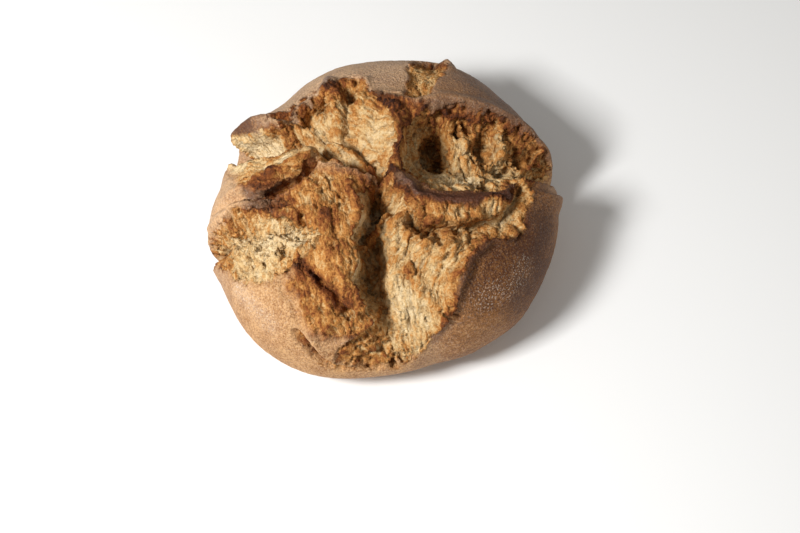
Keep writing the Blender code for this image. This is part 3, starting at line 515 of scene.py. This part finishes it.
def burstOpen(places):
    # What the tears, ridges, pits and overhangs do at each place of the crust map.
    wander = np.stack([valueNoise(places, 14, seed) + 0.7 * valueNoise(places, 6, seed + 1)
                       + 0.35 * valueNoise(places, 3, seed + 2) for seed in (11, 21)], axis=1)
    moved = places + 1.8 * wander
    depth = np.zeros(len(places))
    rimGap = np.full(len(places), -99.0)
    grain = places * 1.0
    pores = np.zeros(len(places))
    strands = np.zeros(len(places))
    torn = np.zeros(len(places))
    toast = np.full(len(places), 0.5)
    for tear in tears.values():
        tearDepth, toRim = tearShape(moved, tear)
        deeper = tearDepth > depth
        depth[deeper] = tearDepth[deeper]
        grain[deeper] = alongGrain(moved[deeper], tear["grain"])
        pores[deeper] = tear["pores"]
        strands[deeper] = tear["strands"]
        toast[deeper] = tear["toast"]
        torn = np.maximum(torn, eased(toRim + 1.5 * valueNoise(places, 3, 41), 0, tear["soft"]))
        rimGap = np.maximum(rimGap, toRim)
    height = -depth
    for ridge in ridges.values():
        height += ridgeHeight(moved, ridge)
    for pit in pits.values():
        height -= pitDepth(moved, pit)
    for x, y, radius in smallHoles:
        height -= pitDepth(moved, dict(at=(x, y), radius=(radius * 1.3, radius * 1.7), depth=radius * 1.8))
    height += torn * (2.2 * valueNoise(places, 10, 5) + 1.3 * valueNoise(places, 5, 6))
    height += (1 - torn) * 0.8 * valueNoise(places, 22, 7)
    shift = np.zeros_like(places)
    for overhang in overhangs.values():
        sink, drawn = tuckUnder(moved, overhang)
        height -= sink
        shift += drawn
    tints = {name: np.full(len(places), share) for name, share in plainCrust.items()}
    for patch in crustPatches.values():
        spine = np.array(patch["at"], float).reshape(-1, 2)
        gap = nearestOn(moved, spine)[0] if len(spine) > 1 else np.hypot(*(moved - spine[0]).T)
        share = np.exp(-(gap / patch["radius"]) ** 4)
        for name, values in tints.items():
            values += (patch[name] - values) * share
    return {"height": height, "shift": shift * eased(depth, 1.5, 6)[:, None], "torn": torn,
            "rimGap": rimGap, "grain": grain, "pores": pores, "strands": strands, "toast": toast,
            "burnAndShade": strokes(moved, burnsAndHollowShade, "burnAndShade"), "pale": strokes(moved, paleCrumb, "pale"), **tints}


def burstDome():
    # The sphere's vertices become the burst loaf, with what the tears say of each place beside them.
    shape = bmesh.new()
    bmesh.ops.create_icosphere(shape, subdivisions=domeSizes["sphereSubdivisions"], radius=1)
    mesh = bpy.data.meshes.new("burst dome")
    shape.to_mesh(mesh)
    shape.free()
    directions = np.empty(len(mesh.vertices) * 3)
    mesh.vertices.foreach_get("co", directions)
    directions = directions.reshape(-1, 3)
    directions /= np.linalg.norm(directions, axis=1)[:, None]
    polar = np.arccos(np.clip(directions[:, 2], -1, 1))
    azimuth = np.arctan2(directions[:, 1], directions[:, 0])
    arc = overCrust(polar)
    outwards = np.stack([np.cos(azimuth), np.sin(azimuth)], axis=1)
    places = arc[:, None] * outwards
    points = dome(polar, azimuth)
    small = 1e-3
    above, below = np.clip(polar - small, 0, math.pi), np.clip(polar + small, 0, math.pi)
    down = dome(below, azimuth) - dome(above, azimuth)
    down /= np.linalg.norm(down, axis=1)[:, None] + 1e-12
    around = np.stack([-np.sin(azimuth), np.cos(azimuth), np.zeros_like(azimuth)], axis=1)
    normals = np.cross(down, around)
    normals /= np.linalg.norm(normals, axis=1)[:, None] + 1e-12
    normals[polar < 0.02] = (0, 0, 1)
    facts = burstOpen(places)
    fade = 1 - eased(arc, 158, 178)
    points += normals * (facts["height"] * fade * mm)[:, None]
    shift = facts["shift"] * (fade * mm)[:, None]
    points += down * np.einsum("ij,ij->i", shift, outwards)[:, None]
    points += around * (shift[:, 1] * outwards[:, 0] - shift[:, 0] * outwards[:, 1])[:, None]
    points[:, 2] = np.maximum(points[:, 2], 0)
    facts["torn"] = facts["torn"] * fade
    facts["place"] = places
    mesh.vertices.foreach_set("co", points.ravel())
    mesh.update()
    return mesh, points, facts


def vertexPoints(mesh):
    points = np.empty(len(mesh.vertices) * 3)
    mesh.vertices.foreach_get("co", points)
    return points.reshape(-1, 3)


def vertexNormals(mesh):
    normals = np.empty(len(mesh.vertices) * 3)
    mesh.vertex_normals.foreach_get("vector", normals)
    return normals.reshape(-1, 3)


def nearestIndex(source, targets):
    tree = KDTree(len(source))
    for index, point in enumerate(source):
        tree.insert(point, index)
    tree.balance()
    return np.fromiter((tree.find(point)[1] for point in targets), int, len(targets))


def keepOuterSkin(mesh):
    # Where a fold closes on itself it seals a small hollow. Only the loaf's outer skin is kept.
    ends = np.empty(len(mesh.edges) * 2, int)
    mesh.edges.foreach_get("vertices", ends)
    ends = ends.reshape(-1, 2)
    label = np.arange(len(mesh.vertices))
    while True:
        low = np.minimum(label[ends[:, 0]], label[ends[:, 1]])
        new = label.copy()
        np.minimum.at(new, ends[:, 0], low)
        np.minimum.at(new, ends[:, 1], low)
        new = new[new]
        if (new == label).all():
            break
        label = new
    names, counts = np.unique(label, return_counts=True)
    loose = label != names[np.argmax(counts)]
    if loose.any():
        shape = bmesh.new()
        shape.from_mesh(mesh)
        shape.verts.ensure_lookup_table()
        bmesh.ops.delete(shape, geom=[shape.verts[i] for i in np.flatnonzero(loose)], context="VERTS")
        shape.to_mesh(mesh)
        shape.free()


def setAttribute(mesh, name, values):
    kind = "FLOAT" if values.ndim == 1 else "FLOAT_VECTOR"
    attribute = mesh.attributes.new(name, kind, "POINT")
    if values.ndim == 1:
        attribute.data.foreach_set("value", values.astype(np.float32))
    else:
        wide = np.zeros((len(values), 3), np.float32)
        wide[:, :values.shape[1]] = values
        attribute.data.foreach_set("vector", wide.ravel())


def applied(piece):
    # The piece as its modifiers leave it, as a plain mesh.
    evaluated = piece.evaluated_get(bpy.context.evaluated_depsgraph_get())
    return bpy.data.meshes.new_from_object(evaluated)


def addNode(tree, kind, inputs=None, **settings):
    node = tree.nodes.new(kind)
    for name, value in settings.items():
        setattr(node, name, value)
    for name, value in (inputs or {}).items():
        socket = node.inputs[name]
        if isinstance(value, bpy.types.NodeSocket):
            tree.links.new(value, socket)
        else:
            socket.default_value = value
    return node


def maths(tree, operation, *values, clamp=False):
    node = tree.nodes.new("ShaderNodeMath")
    node.operation = operation
    node.use_clamp = clamp
    for index, value in enumerate(values):
        if isinstance(value, bpy.types.NodeSocket):
            tree.links.new(value, node.inputs[index])
        else:
            node.inputs[index].default_value = value
    return node.outputs[0]


def mapped(tree, value, low, high, toLow=0.0, toHigh=1.0):
    node = addNode(tree, "ShaderNodeMapRange", {"From Min": low, "From Max": high, "To Min": toLow,
                                                "To Max": toHigh}, interpolation_type="SMOOTHSTEP")
    tree.links.new(value, node.inputs["Value"])
    return node.outputs["Result"]


reliefSizes = {
    "Fold width": 0.0072,       # metres; folds, layers and strands all run along the grain
    "Fold height": 0.0026,
    "Layer width": 0.0044,      # torn layers that lap like shingles
    "Layer height": 0.0013,
    "Strand width": 0.0026,
    "Strand height": 0.0008,
    "Slit length": 0.0085,      # long bubbles between the strands
    "Slit depth": 0.0030,
    "Pore size": 0.0052,        # round bubbles, with thin walls where they crowd
    "Pore depth": 0.0030,
    "Bubble size": 0.0110,
    "Bubble depth": 0.0052,
    "Crumb roughness": 0.0007,
    "Crust ripple": 0.00035,
}


def reliefTree():
    # Carves pores, bubbles and strands into the torn crumb, and ripples the crust.
    tree = bpy.data.node_groups.new("Crumb relief", "GeometryNodeTree")
    tree.interface.new_socket("Geometry", in_out="INPUT", socket_type="NodeSocketGeometry")
    for name, value in reliefSizes.items():
        socket = tree.interface.new_socket(name, in_out="INPUT", socket_type="NodeSocketFloat")
        socket.default_value = value
    tree.interface.new_socket("Material", in_out="INPUT", socket_type="NodeSocketMaterial")
    tree.interface.new_socket("Geometry", in_out="OUTPUT", socket_type="NodeSocketGeometry")
    size = tree.nodes.new("NodeGroupInput").outputs

    def attribute(name, kind="FLOAT"):
        node = addNode(tree, "GeometryNodeInputNamedAttribute", {"Name": name}, data_type=kind)
        return node.outputs["Attribute"]

    torn, pores, strands = attribute("torn"), attribute("pores"), attribute("strands")
    grain = attribute("grain", "FLOAT_VECTOR")
    position = tree.nodes.new("GeometryNodeInputPosition").outputs[0]
    normal = tree.nodes.new("GeometryNodeInputNormal").outputs[0]

    def noise(vector, scale, detail=2.0):
        return addNode(tree, "ShaderNodeTexNoise", {"Vector": vector, "Scale": scale, "Detail": detail,
                                                    "Roughness": 0.55}).outputs

    def cells(sizeName, keep, salt):
        # bowls between thin walls, in the luckier cells of a bent lattice
        scale = maths(tree, "DIVIDE", 1.0, size[sizeName])
        near = addNode(tree, "ShaderNodeTexVoronoi", {"Vector": bent, "Scale": scale, "Randomness": 1.0})
        edge = addNode(tree, "ShaderNodeTexVoronoi", {"Vector": bent, "Scale": scale, "Randomness": 1.0},
                       feature="DISTANCE_TO_EDGE")
        lucky = addNode(tree, "ShaderNodeTexWhiteNoise", {"Vector": near.outputs["Color"], "W": salt},
                        noise_dimensions="4D").outputs["Value"]
        bowl = maths(tree, "MULTIPLY_ADD", edge.outputs["Distance"], 3.2, -0.12, clamp=True)
        return maths(tree, "MULTIPLY", maths(tree, "SQRT", bowl), mapped(tree, lucky, keep, keep + 0.3))

    # bend the lattice of the pores, so that they aren't regular
    bent = addNode(tree, "ShaderNodeVectorMath", {
        0: noise(position, 150.0)["Color"], 1: (0.006, 0.006, 0.006), 2: position},
        operation="MULTIPLY_ADD").outputs[0]
    pore = maths(tree, "MULTIPLY", cells("Pore size", 0.3, 1.0), size["Pore depth"])
    bubble = maths(tree, "MULTIPLY", cells("Bubble size", 0.5, 2.0), size["Bubble depth"])
    holes = maths(tree, "MULTIPLY", maths(tree, "ADD", pore, bubble), pores)

    warp = noise(position, 55.0)["Color"]

    def lengthwise(sizeName, across, along, salt, bend):
        # the grain's coordinates in units of a strand, drawn out along it and bent a little
        unit = maths(tree, "DIVIDE", mm, size[sizeName])
        stretch = addNode(tree, "ShaderNodeCombineXYZ", {
            "X": maths(tree, "MULTIPLY", unit, along),
            "Y": maths(tree, "MULTIPLY", unit, across)}).outputs[0]
        straight = addNode(tree, "ShaderNodeVectorMath", {0: grain, 1: stretch, 2: (salt, salt, salt)},
                           operation="MULTIPLY_ADD").outputs[0]
        return addNode(tree, "ShaderNodeVectorMath", {0: warp, 1: (0.6, bend, 0.0), 2: straight},
                       operation="MULTIPLY_ADD").outputs[0]

    def crest(vector):
        wave = maths(tree, "MULTIPLY_ADD", noise(vector, 1.0, 2.0)["Fac"], 5.0, -2.5)
        return maths(tree, "SUBTRACT", 0.55, maths(tree, "ABSOLUTE", wave))

    fold = crest(lengthwise("Fold width", 1.0, 0.28, 3.0, 2.0))
    fold = maths(tree, "MULTIPLY", fold, size["Fold height"])
    strand = crest(lengthwise("Strand width", 1.0, 0.2, 9.0, 3.0))
    strand = maths(tree, "MULTIPLY", strand, size["Strand height"])
    layers = lengthwise("Layer width", 1.0, 0.3, 5.0, 3.0)
    phase = addNode(tree, "ShaderNodeSeparateXYZ", {0: layers}).outputs["Y"]
    phase = maths(tree, "MULTIPLY_ADD", noise(layers, 0.35)["Fac"], 5.0, phase)
    lapping = mapped(tree, noise(layers, 0.22)["Fac"], 0.42, 0.62)
    layer = maths(tree, "MULTIPLY", maths(tree, "FRACT", phase), lapping)
    layer = maths(tree, "MULTIPLY", layer, size["Layer height"])
    slits = addNode(tree, "ShaderNodeTexVoronoi", {"Vector": lengthwise("Slit length", 2.6, 1.0, 7.0, 1.5),
                                                   "Scale": 1.0, "Randomness": 1.0})
    lucky = addNode(tree, "ShaderNodeTexWhiteNoise", {"Vector": slits.outputs["Color"]},
                    noise_dimensions="3D").outputs["Value"]
    slit = maths(tree, "SUBTRACT", 1.0, maths(tree, "MULTIPLY", slits.outputs["Distance"], 2.4), clamp=True)
    slit = maths(tree, "MULTIPLY", maths(tree, "SQRT", slit), mapped(tree, lucky, 0.45, 0.85))
    slit = maths(tree, "MULTIPLY", slit, size["Slit depth"])
    fibres = maths(tree, "ADD", maths(tree, "ADD", fold, strand), maths(tree, "SUBTRACT", layer, slit))
    fibres = maths(tree, "MULTIPLY", fibres, strands)

    rough = maths(tree, "MULTIPLY_ADD", noise(position, 420.0, 3.0)["Fac"], 2.0, -1.0)
    rough = maths(tree, "MULTIPLY", rough, size["Crumb roughness"])
    crumb = maths(tree, "MULTIPLY", maths(tree, "SUBTRACT", maths(tree, "ADD", fibres, rough), holes), torn)

    ripple = addNode(tree, "ShaderNodeTexNoise", {"Vector": position, "Scale": 260.0,
                                                  "Detail": 2.0}).outputs["Fac"]
    ripple = maths(tree, "MULTIPLY", maths(tree, "MULTIPLY_ADD", ripple, 2.0, -1.0), size["Crust ripple"])
    crust = maths(tree, "MULTIPLY", ripple, maths(tree, "SUBTRACT", 1.0, torn))

    # nothing moves at the base, which stays flat
    height = addNode(tree, "ShaderNodeSeparateXYZ", {0: position}).outputs["Z"]
    above = mapped(tree, height, 0.001, 0.012)
    offset = addNode(tree, "ShaderNodeVectorMath", {0: normal}, operation="SCALE")
    tree.links.new(maths(tree, "MULTIPLY", maths(tree, "ADD", crumb, crust), above), offset.inputs["Scale"])
    move = addNode(tree, "GeometryNodeSetPosition", {"Geometry": size["Geometry"],
                                                     "Offset": offset.outputs[0]})
    plain = addNode(tree, "GeometryNodeRealizeInstances", {"Geometry": move.outputs[0]})
    dress = addNode(tree, "GeometryNodeSetMaterial", {"Geometry": plain.outputs[0],
                                                      "Material": size["Material"]})
    out = tree.nodes.new("NodeGroupOutput")
    tree.links.new(dress.outputs[0], out.inputs[0])
    return tree


def giveInputs(modifier, values):
    for item in modifier.node_group.interface.items_tree:
        if item.in_out == "INPUT" and item.name in values:
            modifier[item.identifier] = values[item.name]


def smoothed(values, ends, count, rounds):
    # Averages each vertex with its neighbours, round after round.
    degree = np.bincount(ends.ravel(), minlength=count)[:, None]
    for _ in range(rounds):
        total = np.stack([np.bincount(ends[:, 0], values[ends[:, 1], k], count)
                          + np.bincount(ends[:, 1], values[ends[:, 0], k], count) for k in range(3)], axis=1)
        values = 0.5 * values + 0.5 * total / degree
    return values


def convexity(mesh, rounds):
    # Millimetres that each vertex stands proud of its smoothed surroundings.
    points = vertexPoints(mesh)
    ends = np.empty(len(mesh.edges) * 2, int)
    mesh.edges.foreach_get("vertices", ends)
    soft = smoothed(points, ends.reshape(-1, 2), len(points), rounds)
    return np.einsum("ij,ij->i", points - soft, vertexNormals(mesh)) / mm


browning = {
    "atRims": 0.27,             # how much more the crumb toasts there
    "rimReach": 8,              # millimetres
    "whereProud": 0.17,
    "broadPatches": 0.15,       # uneven heat
    "smallPatches": 0.12,
    # sharp edges toast more; the darkening this gives fine creases is painted shade
    "edges": 0.13,
    "burnAndShade": 0.40,
}

crustLook = {
    "paleCrust": (0.60, 0.345, 0.155, 1),
    "brownCrust": (0.28, 0.115, 0.030, 1),
    "darkCrust": (0.080, 0.025, 0.007, 1),
    "scorchedCrust": (0.085, 0.022, 0.007, 1),
    # flour colour, which also paints the crust's glints and highlight streak
    "flourAndHighlight": (0.70, 0.58, 0.46, 1),
    "mottle": 70.0,             # sizes of its unevenness, in cycles a metre
    "wrinkle": 420.0,
    "fleck": 900.0,
    "grit": 760.0,
}

crumbLook = {
    "cream": (0.80, 0.63, 0.38, 1),
    "beige": (0.66, 0.44, 0.20, 1),
    "golden": (0.50, 0.22, 0.055, 1),
    "toasted": (0.23, 0.068, 0.017, 1),
    "burnt": (0.050, 0.017, 0.009, 1),
    # painted shade: the dark brown that the crumb's hollows are darkened towards
    "cavityShade": (0.10, 0.042, 0.016, 1),
    "streak": 0.55,             # streaks a millimetre, across the grain
}


def shaderGroup(name, inputs, outputs):
    group = bpy.data.node_groups.new(name, "ShaderNodeTree")
    for socketName, kind, value in inputs:
        socket = group.interface.new_socket(socketName, in_out="INPUT", socket_type=kind)
        socket.default_value = value
    for socketName, kind in outputs:
        group.interface.new_socket(socketName, in_out="OUTPUT", socket_type=kind)
    return group, group.nodes.new("NodeGroupInput"), group.nodes.new("NodeGroupOutput")


def mixed(tree, factor, first, second, blend="MIX"):
    node = tree.nodes.new("ShaderNodeMix")
    node.data_type = "RGBA"
    node.blend_type = blend
    for index, value in ((0, factor), (6, first), (7, second)):
        if isinstance(value, bpy.types.NodeSocket):
            tree.links.new(value, node.inputs[index])
        else:
            node.inputs[index].default_value = value
    return node.outputs[2]


def grainGroup():
    # Fine unevenness that crust and crumb share: a mask between 0 and 1 and a height for the bump.
    group, given, out = shaderGroup("Fine grain", [("Vector", "NodeSocketVector", (0, 0, 0)),
                                                   ("Size", "NodeSocketFloat", 300.0)],
                                    [("Mask", "NodeSocketFloat"), ("Height", "NodeSocketFloat")])
    noise = addNode(group, "ShaderNodeTexNoise", {
        "Vector": given.outputs["Vector"], "Scale": given.outputs["Size"], "Detail": 6.0, "Roughness": 0.62})
    fine = maths(group, "MULTIPLY", given.outputs["Size"], 2.3)
    cells = addNode(group, "ShaderNodeTexVoronoi", {"Vector": given.outputs["Vector"], "Scale": fine})
    group.links.new(mapped(group, noise.outputs["Fac"], 0.3, 0.7), out.inputs["Mask"])
    height = maths(group, "MULTIPLY_ADD", cells.outputs["Distance"], -0.35, noise.outputs["Fac"])
    group.links.new(height, out.inputs["Height"])
    return group


def loafMaterial():
    material = bpy.data.materials.new("baked loaf")
    material.use_nodes = True
    tree = material.node_tree
    surface = tree.nodes["Principled BSDF"]
    place = tree.nodes.new("ShaderNodeTexCoord").outputs["Object"]
    grain = grainGroup()

    def attribute(name):
        return addNode(tree, "ShaderNodeAttribute", attribute_name=name).outputs["Fac"]

    def grainNode(sizeValue):
        node = tree.nodes.new("ShaderNodeGroup")
        node.node_tree = grain
        tree.links.new(place, node.inputs["Vector"])
        node.inputs["Size"].default_value = sizeValue
        return node.outputs

    coarse, fine, finest = [grainNode(crustLook[name]) for name in ("mottle", "wrinkle", "grit")]
    torn, toast, brown, flourAndHighlight = attribute("torn"), attribute("toast"), attribute("brown"), attribute("flourAndHighlight")

    # streaks along the strands
    along = addNode(tree, "ShaderNodeAttribute", attribute_name="grain").outputs["Vector"]
    drawn = addNode(tree, "ShaderNodeMapping", {"Vector": along, "Scale": (0.16, 1.0, 1.0)}).outputs[0]
    streaks = addNode(tree, "ShaderNodeTexNoise", {"Vector": drawn, "Scale": crumbLook["streak"],
                                                   "Detail": 4.0, "Roughness": 0.6}).outputs["Fac"]
    streak = mapped(tree, streaks, 0.32, 0.68, -0.5, 0.5)

    def varied(base, *parts):
        for part, amount in parts:
            base = maths(tree, "MULTIPLY_ADD", part, amount, base)
        return base

    def ramped(value, stops):
        ramp = tree.nodes.new("ShaderNodeValToRGB")
        while len(ramp.color_ramp.elements) < len(stops):
            ramp.color_ramp.elements.new(0.5)
        for element, (position, colour) in zip(ramp.color_ramp.elements, stops):
            element.position = position
            element.color = colour
        tree.links.new(value, ramp.inputs["Fac"])
        return ramp.outputs["Color"]

    mottled = maths(tree, "SUBTRACT", coarse["Mask"], 0.5)
    wrinkled = maths(tree, "SUBTRACT", fine["Mask"], 0.5)
    gritty = maths(tree, "SUBTRACT", finest["Mask"], 0.5)

    # crumb: from cream in the depths over gold to burnt on what stood out in the oven
    heat = varied(toast, (mottled, 0.10), (wrinkled, 0.10), (gritty, 0.10), (streak, 0.24))
    crumb = ramped(heat, ((0.0, crumbLook["cream"]), (0.28, crumbLook["beige"]), (0.5, crumbLook["golden"]),
                          (0.74, crumbLook["toasted"]), (1.0, crumbLook["burnt"])))
    # painted shade: the crumb darkens in the hollows of its relief
    crumb = mixed(tree, maths(tree, "MULTIPLY", attribute("cavityShade"), 0.5), crumb, crumbLook["cavityShade"])

    # crust: pale to dark brown, in fine leathery wrinkles, dusted with flour that sits in flecks, which also
    # paint glints and highlights
    tone = varied(brown, (mottled, 0.24), (wrinkled, 0.18), (gritty, 0.5))
    crust = ramped(tone, ((0.0, crustLook["paleCrust"]), (0.5, crustLook["brownCrust"]),
                          (1.0, crustLook["darkCrust"])))
    crust = mixed(tree, attribute("scorch"), crust, crustLook["scorchedCrust"])
    spots = addNode(tree, "ShaderNodeTexNoise", {"Vector": place, "Scale": crustLook["fleck"], "Detail": 2.0,
                                                 "Roughness": 0.5}).outputs["Fac"]
    dustAndGlints = maths(tree, "MULTIPLY", mapped(tree, spots, 0.54, 0.68), attribute("flecksAndGlints"))
    dustAndGlints = varied(maths(tree, "MULTIPLY", dustAndGlints, 0.6), (flourAndHighlight, 0.3))
    crust = mixed(tree, dustAndGlints, crust, crustLook["flourAndHighlight"])

    tree.links.new(mixed(tree, torn, crust, crumb), surface.inputs["Base Color"])
    rough = mapped(tree, torn, 0.0, 1.0, 0.5, 0.9)
    tree.links.new(maths(tree, "MULTIPLY_ADD", dustAndGlints, 0.2, rough, clamp=True), surface.inputs["Roughness"])
    surface.inputs["Specular IOR Level"].default_value = 0.18

    pebble = addNode(tree, "ShaderNodeTexVoronoi", {"Vector": place, "Scale": crustLook["wrinkle"] * 1.3})
    leather = maths(tree, "MULTIPLY", fine["Height"], 0.6)
    leather = varied(leather, (pebble.outputs["Distance"], -0.25), (finest["Height"], 0.5))
    fibrous = maths(tree, "MULTIPLY_ADD", streaks, 1.2, fine["Height"])
    relief = addNode(tree, "ShaderNodeMix", {0: torn, 2: leather, 3: fibrous}, data_type="FLOAT").outputs[0]
    bump = addNode(tree, "ShaderNodeBump", {"Height": relief, "Distance": 0.0020, "Strength": 0.9})
    tree.links.new(bump.outputs[0], surface.inputs["Normal"])
    return material


def makeLoaf(material):
    domeMesh, domePoints, facts = burstDome()
    print("burst dome:", len(domeMesh.vertices), "vertices")
    piece = bpy.data.objects.new("loafCrust", domeMesh)
    bpy.context.scene.collection.objects.link(piece)
    even = piece.modifiers.new("Even mesh", "REMESH")
    even.mode = "VOXEL"
    even.voxel_size = domeSizes["voxel"]
    mesh = applied(piece)
    piece.modifiers.remove(even)
    keepOuterSkin(mesh)
    print("even mesh:", len(mesh.vertices), "vertices")

    near = nearestIndex(domePoints, vertexPoints(mesh))
    facts = {name: values[near] for name, values in facts.items()}
    for name in ("torn", "pores", "strands", "grain"):
        setAttribute(mesh, name, facts[name])
    piece.data = mesh
    relief = piece.modifiers.new("Relief", "NODES")
    relief.node_group = reliefTree()
    giveInputs(relief, {**reliefSizes, "Material": material})
    carved = applied(piece)
    piece.modifiers.remove(relief)
    print("relief carved")

    # the rims and what stands out brown first, and the depths stay pale
    fine, broad = convexity(carved, 6) / 0.3, convexity(carved, 60) / 1.5
    rimHeat = np.exp(-np.maximum(facts["rimGap"], 0) / browning["rimReach"])
    toast = facts["toast"] + browning["atRims"] * (rimHeat - 0.2)
    toast += browning["whereProud"] * np.clip(broad, -1, 1.2)
    toast += browning["broadPatches"] * valueNoise(facts["place"], 26, 31)
    toast += browning["smallPatches"] * valueNoise(facts["place"], 9, 32)
    # burn strokes add toast; in three hollows that darkening is painted shade
    toast = np.maximum(toast - facts["pale"], 0) + browning["burnAndShade"] * facts["burnAndShade"]
    # sharp edges toast more, and creases get darker as painted shade
    toast += browning["edges"] * np.clip(np.abs(fine) - 0.2, 0, 1) - 0.05 * np.clip(fine, -1, 1)
    facts["toast"] = np.clip(toast, 0, 1)
    facts["scorch"] = np.clip(1.3 * facts["burnAndShade"], 0, 1) * (1 - facts["torn"])
    # painted shade: how far each vertex lies down in a hollow of the carved relief, for darkening the crumb
    # there
    facts["cavityShade"] = np.clip(-convexity(carved, 12) / 0.55 - 0.15, 0, 1)
    carvedPoints = vertexPoints(carved)

    piece.data = carved
    fewer = piece.modifiers.new("Fewer faces", "DECIMATE")
    faces = sum(len(polygon.vertices) - 2 for polygon in carved.polygons)
    fewer.ratio = min(1.0, domeSizes["triangles"] / faces)
    final = applied(piece)
    piece.modifiers.remove(fewer)
    for attribute in list(final.attributes):
        if attribute.name in ("torn", "pores", "strands", "grain"):
            final.attributes.remove(final.attributes[attribute.name])
    near = nearestIndex(carvedPoints, vertexPoints(final))
    for name in ("torn", "toast", "brown", "flourAndHighlight", "flecksAndGlints", "scorch", "cavityShade", "grain"):
        setAttribute(final, name, facts[name][near])
    final.shade_smooth()
    final.materials.clear()
    final.materials.append(material)
    piece.data = final
    print("loaf:", sum(len(polygon.vertices) - 2 for polygon in final.polygons), "triangles")
    return piece


studio = {
    "floor": (0.86, 0.86, 0.85, 1),
    "floorSize": 6.0,
    "keyAt": (-0.70, -0.47, 0.94),
    "keySize": 0.30,
    "keyPower": 20.5,
    "rightAt": (1.2, -0.7, 0.35),
    "rightSize": 0.5,
    "rightPower": 3.0,
    "sky": (1.0, 0.97, 0.93, 1),
    "skyStrength": 0.28,
}


def areaLight(name, at, size, power):
    data = bpy.data.lights.new(name, "AREA")
    data.size = size
    data.energy = power
    light = bpy.data.objects.new(name, data)
    light.location = at
    light.rotation_mode = "QUATERNION"
    light.rotation_quaternion = (Vector((0, 0, 0.05)) - Vector(at)).to_track_quat("-Z", "Y")
    bpy.context.scene.collection.objects.link(light)


def makeStudio():
    bpy.ops.mesh.primitive_plane_add(size=studio["floorSize"])
    floor = bpy.context.object
    floor.name = "floor"
    paper = bpy.data.materials.new("pale floor")
    paper.use_nodes = True
    paper.node_tree.nodes["Principled BSDF"].inputs["Base Color"].default_value = studio["floor"]
    paper.node_tree.nodes["Principled BSDF"].inputs["Roughness"].default_value = 0.8
    floor.data.materials.append(paper)
    areaLight("key light", studio["keyAt"], studio["keySize"], studio["keyPower"])
    areaLight("right light", studio["rightAt"], studio["rightSize"], studio["rightPower"])
    world = bpy.data.worlds.new("soft sky")
    world.use_nodes = True
    world.node_tree.nodes["Background"].inputs["Color"].default_value = studio["sky"]
    world.node_tree.nodes["Background"].inputs["Strength"].default_value = studio["skyStrength"]
    bpy.context.scene.world = world
    bpy.context.scene.view_settings.view_transform = "Standard"


# The photograph: 800 by 533 pixels, taken from in front and above.
photograph = {
    "width": 800,
    "height": 533,
    "elevation": 56.0,              # degrees above the horizon
    "distance": 1.0,                # metres from the loaf's middle
    "metresPerPixel": 0.6685e-3,
    "middle": (0, 0, 0.045),
    "middlePixel": (382.5, 208.5),  # where the loaf's middle is seen
}


def makeCamera():
    rise = math.radians(photograph["elevation"])
    forward = Vector((0, math.cos(rise), -math.sin(rise)))
    right = Vector((1, 0, 0))
    up = right.cross(forward)
    scale = photograph["metresPerPixel"]
    middle = Vector(photograph["middle"])
    x, y = photograph["middlePixel"]
    rightwards, upwards = photograph["width"] / 2 - x, y - photograph["height"] / 2
    aim = middle + right * rightwards * scale + up * upwards * scale
    data = bpy.data.cameras.new("camera")
    data.sensor_width = 36
    data.lens = data.sensor_width * photograph["distance"] / (photograph["width"] * scale)
    camera = bpy.data.objects.new("camera", data)
    camera.location = middle - forward * photograph["distance"]
    camera.rotation_mode = "QUATERNION"
    camera.rotation_quaternion = (aim - camera.location).to_track_quat("-Z", "Y")
    bpy.context.scene.collection.objects.link(camera)
    bpy.context.scene.camera = camera


makeStudio()
makeCamera()
crustAndCrumb = loafMaterial()
loaf = makeLoaf(crustAndCrumb)
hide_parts("loaf")
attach(loaf, "root")
